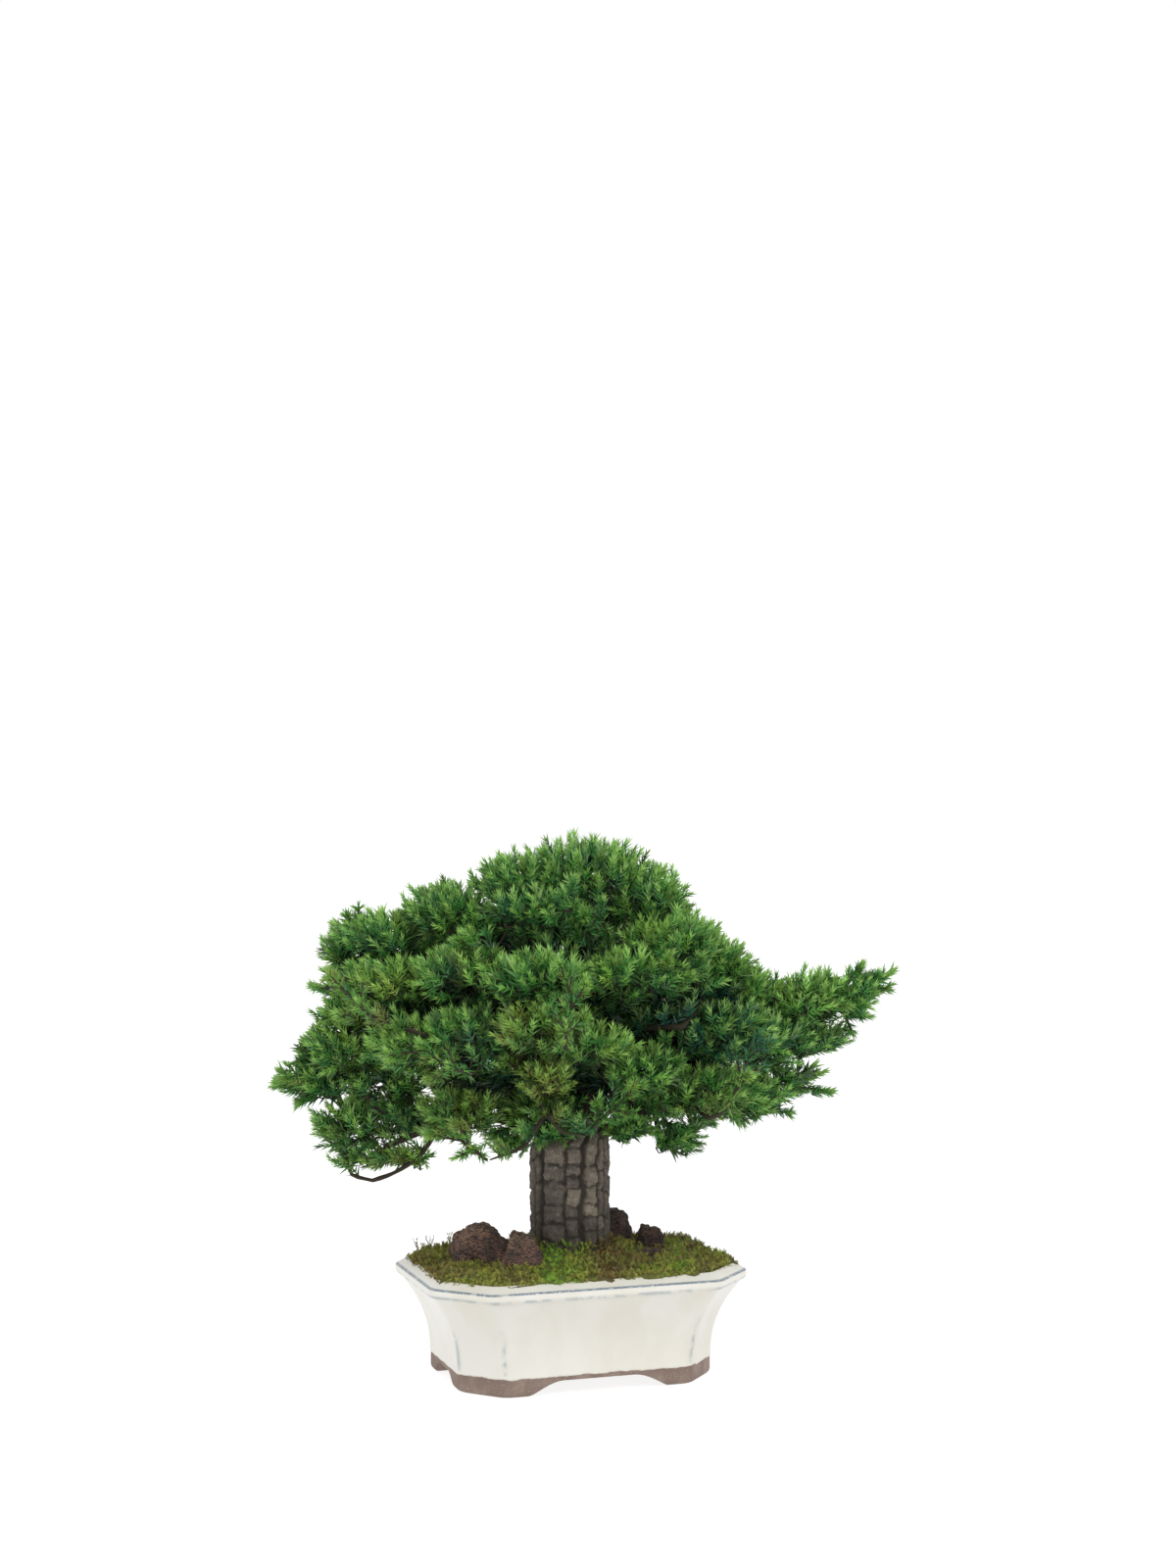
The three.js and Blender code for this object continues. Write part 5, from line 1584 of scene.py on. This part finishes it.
@dataclass
class MossCushion:
    """The moss: a lumpy cushion under a felt of small fronds, with a few taller sprigs."""

    frond_length_mm: float = 3.9
    branch_length_mm: float = 2.2
    fronds: int = 4300
    trunk_fronds: int = 300
    variants: int = 9
    seed: int = 19
    edge_lift_mm: float = 2.0
    mound_mm: float = 5.5
    hollow: tuple[float, float, float, float] = (-46.0, -34.0, 17.0, 2.0)
    mound_reach_mm: float = 15.0
    trunk_radius_mm: float = 25.5
    trunk_fronds_from_mm: float = 74.5
    trunk_fronds_climb_mm: float = 8.0
    rim_margin_mm: float = 11.0
    stone_margin_mm: float = 2.2
    sprig_step_mm: float = 2.2
    longest_mm: float = 3.0
    raised_mm: tuple[float, float] = (60.5, 64.5)
    felt_from_mm: float = 66.6
    felt_underside: float = -0.3
    felt_depth_shade: float = 0.18
    thicker_in_front: float = 1.6
    thicker_by_rim: float = 1.8
    patches: tuple[tuple[float, float, float], ...] = (
        (-6.0, 17.0, 0.5), (25.0, 11.0, -0.32), (58.0, 19.0, 0.24), (-84.0, 14.0, -0.14), (-48.0, 12.0, 0.12))
    sprigs: tuple[tuple[float, float, float, float], ...] = (
        (-93, -4, 74, 9), (-89, -9, 74, 7), (-86, 2, 74, 8), (-31, -4, 75, 12), (-34, -8, 75, 10), (-28, -10, 75, 7),
        (64, -30, 75, 8), (68, -26, 75, 9), (59, -33, 75, 6), (80, -12, 74, 6), (40, 30, 74, 6), (-75, 24, 74, 7))

    def frond(self, rng: random.Random) -> Stamp:
        """Builds a small branched frond along +Z.

        Args:
            rng: The source of its irregularities.

        Returns:
            The frond as a stamp.
        """
        shape = with_tints(bmesh.new())
        length = self.frond_length_mm * MM
        blade = Needle(length_mm=self.frond_length_mm, width_mm=0.75, thickness_mm=0.45)
        blade.add(shape, Vector(), UP, rng.uniform(0, math.tau), 1.0)
        for branch in range(5):
            share = 0.15 + branch * 0.15
            side = 1 if branch % 2 else -1
            direction = Vector((side * 0.8, rng.uniform(-0.4, 0.4), rng.uniform(0.5, 0.8))).normalized()
            foot = UP * length * share
            leaf = Needle(length_mm=self.branch_length_mm, width_mm=0.75, thickness_mm=0.4)
            leaf.add(shape, foot, direction, 0.0, 1 - share * 0.4)
        age = shape.verts.layers.float["age"]
        curl = rng.uniform(0.15, 0.45) / length
        for vertex in shape.verts:
            # The share of the way up the frond, which the moss's painted shade reads.
            vertex[age] = vertex.co.z / length
            vertex.co.y += curl * vertex.co.z ** 2
        return Stamp(shape, "frond")

    def build(self) -> None:
        """Builds the cushion and its fronds as one piece."""
        rng = random.Random(self.seed)
        stamps = [self.frond(rng) for _ in range(self.variants)]
        shape = self.cushion()
        stones = [BVHTree.FromBMesh(merged_copy(name)) for name in LavaStones.nodes]
        pot = GlazedPot()
        for point, normal in self.spots(shape, rng):
            lean = Vector((rng.uniform(-1, 1), rng.uniform(-1, 1), rng.uniform(-0.1, 0.5)))
            direction = (normal * 0.7 + lean).normalized()
            size = 1.0
            inset = pot.inset_at(point)
            if inset < self.rim_margin_mm:
                outward = Vector((point.x, point.y, 0)).normalized()
                direction = (direction - outward * max(direction.dot(outward), 0) * 0.75).normalized()
                size = 0.8 + 0.2 * smoothstep(5.0, self.rim_margin_mm, inset)
            if min(stone.find_nearest(point)[3] for stone in stones) < self.stone_margin_mm * MM:
                size *= 0.6
            self.plant(shape, stamps, point - normal * 0.7 * MM, direction, rng, size)
        for index in range(self.trunk_fronds):
            angle = index * GOLDEN_ANGLE
            outward = Vector((math.cos(angle), math.sin(angle), 0))
            height = self.trunk_fronds_from_mm + self.trunk_fronds_climb_mm * rng.random() ** 2.2
            direction = (UP * 0.9 + outward * rng.uniform(-0.1, 0.7) + outward.orthogonal() * rng.uniform(-0.5, 0.5))
            self.plant(shape, stamps, outward * self.trunk_radius_mm * MM + UP * height * MM,
                       direction.normalized(), rng, 0.8)
        for across, depth, height, reach in self.sprigs:
            foot = front_point(across, depth, height)
            for _ in range(3):
                lean = Vector((rng.uniform(-0.4, 0.4), rng.uniform(-0.4, 0.4), 1)).normalized()
                for step in range(round(reach / self.sprig_step_mm)):
                    place = foot + lean * step * self.sprig_step_mm * MM
                    self.plant(shape, stamps, place, lean, rng, 0.75 - step * 0.05)
        place_piece("moss_felt", shape, (SheetMoss().material(),), "moss", "moss", smooth=False)

    def cushion(self) -> bmesh.types.BMesh:
        """Takes the frame's cushion and makes it finer, lumpier and as high as the rim's crest.

        Returns:
            The cushion.
        """
        shape = merged_copy("moss")
        refine(shape, self.longest_mm, 2)
        with_tints(shape)
        shape.normal_update()
        tone = shape.verts.layers.float["tone"]
        age = shape.verts.layers.float["age"]
        moves = []
        for vertex in shape.verts:
            raised = smoothstep(*self.raised_mm, vertex.co.z / MM)
            swell = clouds(vertex.co, (6 * MM, 1.3), (2.2 * MM, 0.7))
            moves.append(UP * self.lift(vertex.co) * raised * MM + vertex.normal * swell * raised * MM)
            vertex[tone] = self.tone_at(vertex.co)
            # The felt between the fronds takes painted shade.
            vertex[age] = self.felt_depth_shade
        for vertex, move in zip(shape.verts, moves):
            vertex.co += move
        return shape

    def lift(self, point: Vector) -> float:
        """How far the moss stands above the frame's plain cushion: higher by the trunk, lower by the stones.

        Args:
            point: A point of the cushion, in metres.

        Returns:
            The height in millimetres.
        """
        from_trunk = math.hypot(point.x, point.y) / MM - self.trunk_radius_mm
        seen = front_view(point)
        across, depth, reach, drop = self.hollow
        away = math.hypot(seen.x - across, seen.y - depth)
        mound = self.mound_mm * math.exp(-(from_trunk / self.mound_reach_mm) ** 2)
        return self.edge_lift_mm + mound - drop * math.exp(-(away / reach) ** 2)

    def spots(self, shape: bmesh.types.BMesh, rng: random.Random) -> list[tuple[Vector, Vector]]:
        """Picks places for the fronds all over the cushion's upper side.

        Args:
            shape: The cushion.
            rng: The source of the picks.

        Returns:
            Each place with the way up from the cushion there.
        """
        shape.normal_update()
        top = [face for face in shape.faces
               if face.normal.z > self.felt_underside and face.calc_center_median().z > self.felt_from_mm * MM]
        pot = GlazedPot()
        weights = []
        for face in top:
            middle = face.calc_center_median()
            in_front = self.thicker_in_front if front_view(middle).y < 0 else 1.0
            by_rim = self.thicker_by_rim if pot.inset_at(middle) < self.rim_margin_mm + 1 else 1.0
            weights.append(face.calc_area() * in_front * by_rim)
        picked = rng.choices(top, weights=weights, k=self.fronds)
        places = []
        for face in picked:
            shares = [rng.random() for _ in face.verts]
            point = sum((v.co * s for v, s in zip(face.verts, shares)), Vector()) / sum(shares)
            places.append((point, face.normal.copy()))
        return places

    def tone_at(self, point: Vector) -> float:
        """The moss's colour at a place.

        Args:
            point: The place, in metres.

        Returns:
            The tone, from 0 for dry brown to 1 for fresh green.
        """
        seen = front_view(point)
        front = smoothstep(10, -25, seen.y)
        patches = sum(strength * math.exp(-((seen.x - across) / width) ** 2)
                      for across, width, strength in self.patches)
        cloud = clouds(point, (15 * MM, 0.5), (5 * MM, 0.2))
        return 0.4 + patches * front + cloud * (1.0 - 0.4 * front)

    def plant(self, shape: bmesh.types.BMesh, stamps: list[Stamp], foot: Vector, direction: Vector,
              rng: random.Random, size: float) -> None:
        """Adds one frond.

        Args:
            shape: The moss, which grows.
            stamps: The frond's variants.
            foot: Where it stands.
            direction: Where it points.
            rng: The source of its turn, size and tone.
            size: Its scale.
        """
        place = aimed(foot, direction, rng.uniform(0, math.tau), size * rng.uniform(0.7, 1.25))
        rng.choice(stamps).press(shape, place, tone=self.tone_at(foot) + rng.gauss(0, 0.13), shade=0.5)


@dataclass
class GlazedPot:
    """The cut-corner pot: flared walls, a rolled lip, a glaze edge above the clay foot, and four corner feet."""

    length_mm: float = 200.0
    depth_mm: float = 148.0
    height_mm: float = 68.3
    rim_edge_mm: float = 64.4
    rim_cut_mm: tuple[float, float] = (29.0, 30.0)
    base_length_mm: float = 161.0
    base_depth_mm: float = 115.0
    base_cut_mm: tuple[float, float] = (22.0, 24.0)
    base_height_mm: float = 11.0
    lip_height_mm: float = 4.7
    wall_mm: float = 7.2
    floor_mm: float = 16.0
    foot_rounding_mm: float = 3.3
    arch_height_mm: float = 8.5
    arch_steps: int = 9
    arch_edge_mm: float = 0.7
    front_arch_mm: tuple[float, float] = (50.0, 22.0)
    side_arch_mm: tuple[float, float] = (27.0, 9.0)
    drain_radius_mm: float = 7.0
    drain_across_mm: float = 38.0
    corner_steps: int = 6
    corner_rounding_mm: float = 5.0
    wall_steps: int = 26
    side_steps: int = 8
    lip_shadow_mm: tuple[float, float, float, float] = (58.2, 59.4, 60.2, 61.0)
    low_corner_mm: tuple[float, float, float, float] = (11.5, 16.0, 24.0, 46.0)
    corner_pool_mm: tuple[float, float] = (2.4, 0.3)

    def drawn_in(self, height: float) -> float:
        """How far the wall has drawn in from rim to base.

        Args:
            height: The height above the table, in millimetres.

        Returns:
            The share, from 0 to 1.
        """
        wall_top = self.rim_edge_mm - self.lip_height_mm
        drop = min(max((wall_top - height) / (wall_top - self.base_height_mm), 0), 1)
        return 0.06 + 0.94 * (1 - (1 - drop) ** 2.3)

    def inset_at(self, point: Vector) -> float:
        """How far a point lies inside the rim's outline.

        Args:
            point: The point, in metres.

        Returns:
            The distance in millimetres.
        """
        cut_x, cut_y = self.rim_cut_mm
        beside_x = self.length_mm / 2 - abs(point.x) / MM
        beside_y = self.depth_mm / 2 - abs(point.y) / MM
        corner = (beside_x * cut_y + beside_y * cut_x - cut_x * cut_y) / math.hypot(cut_x, cut_y)
        return min(beside_x, beside_y, corner)

    def outline(self, share: float, inset: float) -> list[tuple[float, float, float]]:
        """The pot's outline at one level, its corners rounded.

        Args:
            share: How far it has drawn in from rim to base.
            inset: How far it is offset inwards, in millimetres.

        Returns:
            The points, each with its distance from the nearest corner, in millimetres.
        """
        half_x = (self.length_mm + (self.base_length_mm - self.length_mm) * share) / 2 - inset
        half_y = (self.depth_mm + (self.base_depth_mm - self.depth_mm) * share) / 2 - inset
        cut_inset = inset * (2 - math.sqrt(2))
        cut_x = self.rim_cut_mm[0] + (self.base_cut_mm[0] - self.rim_cut_mm[0]) * share - cut_inset
        cut_y = self.rim_cut_mm[1] + (self.base_cut_mm[1] - self.rim_cut_mm[1]) * share - cut_inset
        quarter = [Vector((half_x, half_y - cut_y)), Vector((half_x - cut_x, half_y))]
        corners = [Vector((p.x * sx, p.y * sy)) for sx, sy, order in
                   ((1, 1, 1), (-1, 1, -1), (-1, -1, 1), (1, -1, -1)) for p in quarter[::order]]
        ring = []
        for index, corner in enumerate(corners):
            before = (corners[index - 1] - corner).normalized()
            after = (corners[(index + 1) % 8] - corner).normalized()
            soft = self.corner_rounding_mm
            for step in range(self.corner_steps + 1):
                t = step / self.corner_steps
                point = corner + before * soft * (1 - t) ** 2 + after * soft * t ** 2
                ring.append((point.x, point.y, abs(2 * t - 1) * soft))
            following = corners[(index + 1) % 8]
            start = corner + after * soft
            end = following - after * soft
            for step in range(1, self.side_steps):
                t = step / self.side_steps
                point = start.lerp(end, t)
                ring.append((point.x, point.y, soft + min(t, 1 - t) * (end - start).length))
        return ring

    def levels(self) -> list[tuple[float, float, float, float]]:
        """The profile from foot to lip and down inside.

        Returns:
            Each level as drawn-in share, inset, height and how clearly the rim's grey line shows there.
        """
        foot = self.foot_rounding_mm
        top = self.height_mm
        edge = self.rim_edge_mm
        lip = edge - self.lip_height_mm
        rows = []
        for step in range(6):
            turn = math.radians(90 * step / 5)
            rows.append((1.0, 0.4 + foot * (1 - math.sin(turn)), foot * (1 - math.cos(turn)), 0.0))
        rows.append((1.0, 0.4, 7.5, 0.0))
        rows.append((1.0, 0.4, self.base_height_mm - 0.5, 0.0))
        rows.append((1.0, 0.05, self.base_height_mm, 0.0))
        rows.append((1.0, 0.0, self.base_height_mm + 0.6, 0.0))
        for step in range(1, self.wall_steps):
            height = self.base_height_mm + (lip - self.base_height_mm) * step / self.wall_steps
            rows.append((self.drawn_in(height), 0.0, height, 0.0))
        rows += [(0.05, 0.0, lip - 0.7, 0.0), (0.025, 0.0, lip - 0.2, 0.0), (0.0, 0.45, lip + 0.1, 0.0),
                 (0.0, 0.1, lip + 0.6, 0.0), (0.0, 0.0, lip + 1.4, 0.0), (0.0, 0.0, lip + 2.8, 0.0),
                 (0.0, 0.12, edge - 0.95, 0.0), (0.0, 0.3, edge - 0.5, 1.0), (0.0, 0.75, edge - 0.1, 1.0),
                 (0.0, 1.3, edge + 0.25, 0.9), (0.0, 1.9, edge + 0.6, 0.0), (0.0, 3.4, edge + 1.5, 0.0),
                 (0.0, 4.8, edge + 2.4, 0.0), (0.0, 6.0, top - 0.75, 0.0), (0.0, 6.8, top - 0.25, 0.0),
                 (0.0, 7.5, top, 0.0), (0.03, 7.6, top - 0.25, 0.0), (0.06, 7.4, top - 0.9, 0.0),
                 (0.06, 7.2, 60.0, 0.0)]
        for height in (57.0, 50.0, 42.0, 32.0, 24.0, 18.0):
            rows.append((self.drawn_in(height), self.wall_mm, height, 0.0))
        rows.append((self.drawn_in(self.floor_mm), self.wall_mm + 2.0, self.floor_mm, 0.0))
        return rows

    @staticmethod
    def band(height: float, start: float, full: float, fading: float, end: float) -> float:
        """How clearly a band shows at a height, from 0 to 1, by the four heights that bound it; it gives both the
        painted shadow under the lip and the glaze pooled down the lower corners.
        """
        return smoothstep(end, fading, height) * smoothstep(start, full, height)

    def build(self) -> None:
        """Builds the pot as one piece."""
        shape = bmesh.new()
        index_layer = shape.verts.layers.int.new("index")
        pool_and_lip_shadow = shape.verts.layers.float.new("pool_and_lip_shadow")
        rim_line = shape.verts.layers.float.new("rim_line")
        rows = self.levels()
        first = [shape.verts.new((x * MM, y * MM, rows[0][2] * MM)) for x, y, _ in self.outline(*rows[0][:2])]
        for number, vertex in enumerate(first):
            vertex[index_layer] = number
        base = shape.faces.new(first)
        base.normal_flip()
        edges = list(base.edges)
        for share, inset, height, line in rows[1:]:
            made = bmesh.ops.extrude_edge_only(shape, edges=edges)["geom"]
            ring = self.outline(share, inset)
            low = self.band(height, *self.low_corner_mm)
            lip_shadow = self.band(height, *self.lip_shadow_mm)
            for vertex in vertices_in(made):
                x, y, from_corner = ring[vertex[index_layer]]
                vertex.co = Vector((x, y, height)) * MM
                vertex[rim_line] = line
                # Painted shadow under the lip, and glaze pooled down the lower corners.
                vertex[pool_and_lip_shadow] = max(lip_shadow * 0.8, low * smoothstep(*self.corner_pool_mm, from_corner))
            edges = [item for item in made if isinstance(item, bmesh.types.BMEdge)
                     and all(abs(v.co.z - height * MM) < 1e-7 for v in item.verts)]
        bmesh.ops.contextual_create(shape, geom=edges)
        bmesh.ops.recalc_face_normals(shape, faces=shape.faces)
        blank = new_object("pot_blank", finished_mesh("pot_blank", shape))
        cutters = [self.arch(*self.front_arch_mm, 0.0), self.arch(*self.side_arch_mm, math.pi / 2)]
        cutters += [self.drain(side * self.drain_across_mm) for side in (-1, 1)]
        for cutter in cutters:
            cut = blank.modifiers.new(cutter.name, "BOOLEAN")
            cut.object = cutter
            cut.operation = "DIFFERENCE"
            cut.solver = "EXACT"
        evaluated = blank.evaluated_get(bpy.context.evaluated_depsgraph_get())
        carved = bmesh.new()
        carved.from_mesh(evaluated.to_mesh())
        for helper in (blank, *cutters):
            bpy.data.objects.remove(helper)
        self.soften(carved)
        place_piece("glazed_pot", carved, (CreamGlaze().material(),), "pot_glaze", "pot")

    def soften(self, shape: bmesh.types.BMesh) -> None:
        """Rounds the cut edges of the arches.

        Args:
            shape: The carved pot.
        """
        shape.normal_update()
        sharp = [edge for edge in shape.edges if edge.is_manifold and edge.calc_face_angle() > math.radians(50)
                 and max(v.co.z for v in edge.verts) < 9.5 * MM]
        bmesh.ops.bevel(shape, geom=sharp, offset=self.arch_edge_mm * MM, offset_type="OFFSET", affect="EDGES",
                        segments=2, profile=0.5, material=-1, clamp_overlap=True)

    def arch(self, half_span: float, half_flat: float, turn: float) -> bpy.types.Object:
        """Builds the bar that cuts one arch right through the clay base.

        Args:
            half_span: Half the arch's width at the table, in millimetres.
            half_flat: Half the width of its flat top, in millimetres.
            turn: The bar's turn about Z.

        Returns:
            The cutting object.
        """
        reach = self.length_mm
        shape = bmesh.new()
        right = []
        for step in range(self.arch_steps + 1):
            t = step / self.arch_steps
            across = half_span + (half_flat - half_span) * t
            right.append((across, -2 + (self.arch_height_mm + 2) * smoothstep(0, 1, t ** 0.85)))
        profile = right + [(-x, z) for x, z in reversed(right)]
        face = shape.faces.new([shape.verts.new((x * MM, -reach * MM, z * MM)) for x, z in profile])
        pushed = bmesh.ops.extrude_face_region(shape, geom=[face])["geom"]
        bmesh.ops.translate(shape, vec=(0, 2 * reach * MM, 0), verts=vertices_in(pushed))
        bmesh.ops.rotate(shape, matrix=Matrix.Rotation(turn, 3, "Z"), verts=shape.verts)
        bmesh.ops.recalc_face_normals(shape, faces=shape.faces)
        return new_object("arch", finished_mesh("arch", shape))

    def drain(self, across: float) -> bpy.types.Object:
        """Builds the rod that cuts one drain hole.

        Args:
            across: Where the hole is along X, in millimetres.

        Returns:
            The cutting object.
        """
        shape = bmesh.new()
        radius = self.drain_radius_mm * MM
        bmesh.ops.create_cone(shape, cap_ends=True, segments=40, radius1=radius, radius2=radius,
                              depth=self.floor_mm * 3 * MM, matrix=Matrix.Translation((across * MM, 0, 0)))
        return new_object("drain", finished_mesh("drain", shape))


@dataclass
class KeptNodes:
    """The frame's own nodes that stay as they are, with better finishes."""

    def dress(self) -> None:
        """Gives the soil and the drain screens their materials."""
        soil = PottingSoil().material()
        plastic = ScreenPlastic().material()
        for name, finish in (("soil", soil), ("drain_screen_left", plastic), ("drain_screen_right", plastic)):
            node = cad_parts[name]
            node.data.materials.clear()
            node.data.materials.append(finish)
            LOG.info("%s: new finish", name)


@dataclass
class Studio:
    """A white floor that runs into a white room, soft light from all sides, and the photograph's camera."""

    focal_px: float = 2500.0
    frame_height_px: float = 1600.0
    sensor_mm: float = 36.0
    distance_mm: float = 1504.0
    height_mm: float = 359.7
    aim_across_mm: float = 11.2
    lamps_aim_mm: float = 190.0
    floor_size: float = 12.0
    floor_grey: str = "#8A8A8A"
    floor_glow: float = 0.84
    lamps: tuple[tuple[str, tuple[float, float, float], float, float], ...] = (
        ("key_softbox", (420, -700, 1150), 8.0, 0.8), ("fill_softbox", (-900, -500, 700), 2.0, 1.1))

    def build(self) -> None:
        """Adds the floor, the lights and the camera."""
        self.floor()
        self.lights()
        self.camera()

    def floor(self) -> None:
        """Adds the pale floor, lit from within as a light table is, so that its shadows stay faint."""
        shape = bmesh.new()
        bmesh.ops.create_grid(shape, x_segments=1, y_segments=1, size=self.floor_size)
        mesh = finished_mesh("floor", shape)
        surface = Surface("backlit_white_acrylic", Base_Color=linear(self.floor_grey), Roughness=0.9)
        surface.shader.inputs["Emission Color"].default_value = linear("#FFFFFF")
        surface.shader.inputs["Emission Strength"].default_value = self.floor_glow
        mesh.materials.append(surface.material)
        new_object("floor", mesh)

    def lights(self) -> None:
        """Adds the bright room and two large soft lamps."""
        world = bpy.data.worlds.new("white_room")
        world.use_nodes = True
        background = next(node for node in world.node_tree.nodes if node.type == "BACKGROUND")
        background.inputs["Color"].default_value = linear("#FFFFFF")
        background.inputs["Strength"].default_value = 1.0
        bpy.context.scene.world = world
        bpy.context.scene.view_settings.view_transform = "Standard"
        for name, place, power, size in self.lamps:
            lamp = bpy.data.lights.new(name, "AREA")
            lamp.energy = power
            lamp.size = size
            box = bpy.data.objects.new(name, lamp)
            box.location = front_point(*place)
            aim = front_point(0, 0, self.lamps_aim_mm) - box.location
            box.rotation_euler = aim.to_track_quat("-Z", "Y").to_euler()
            bpy.context.scene.collection.objects.link(box)

    def camera(self) -> None:
        """Adds the camera, level and as far away as the photograph's was."""
        lens = bpy.data.cameras.new("camera")
        lens.sensor_width = self.sensor_mm
        lens.lens = self.focal_px / self.frame_height_px * self.sensor_mm
        viewer = bpy.data.objects.new("camera", lens)
        viewer.location = front_point(self.aim_across_mm, -self.distance_mm, self.height_mm)
        viewer.rotation_euler = (math.radians(90), 0, FRONT_TURN)
        bpy.context.scene.collection.objects.link(viewer)
        bpy.context.scene.camera = viewer


def main() -> None:
    """Builds the whole object and its studio."""
    logging.basicConfig(level=logging.INFO, format="%(message)s")
    Studio().build()
    GlazedPot().build()
    KeptNodes().dress()
    LavaStones().build()
    Wood().build()
    MossCushion().build()
    Foliage().build()


if __name__ == "__main__":
    main()
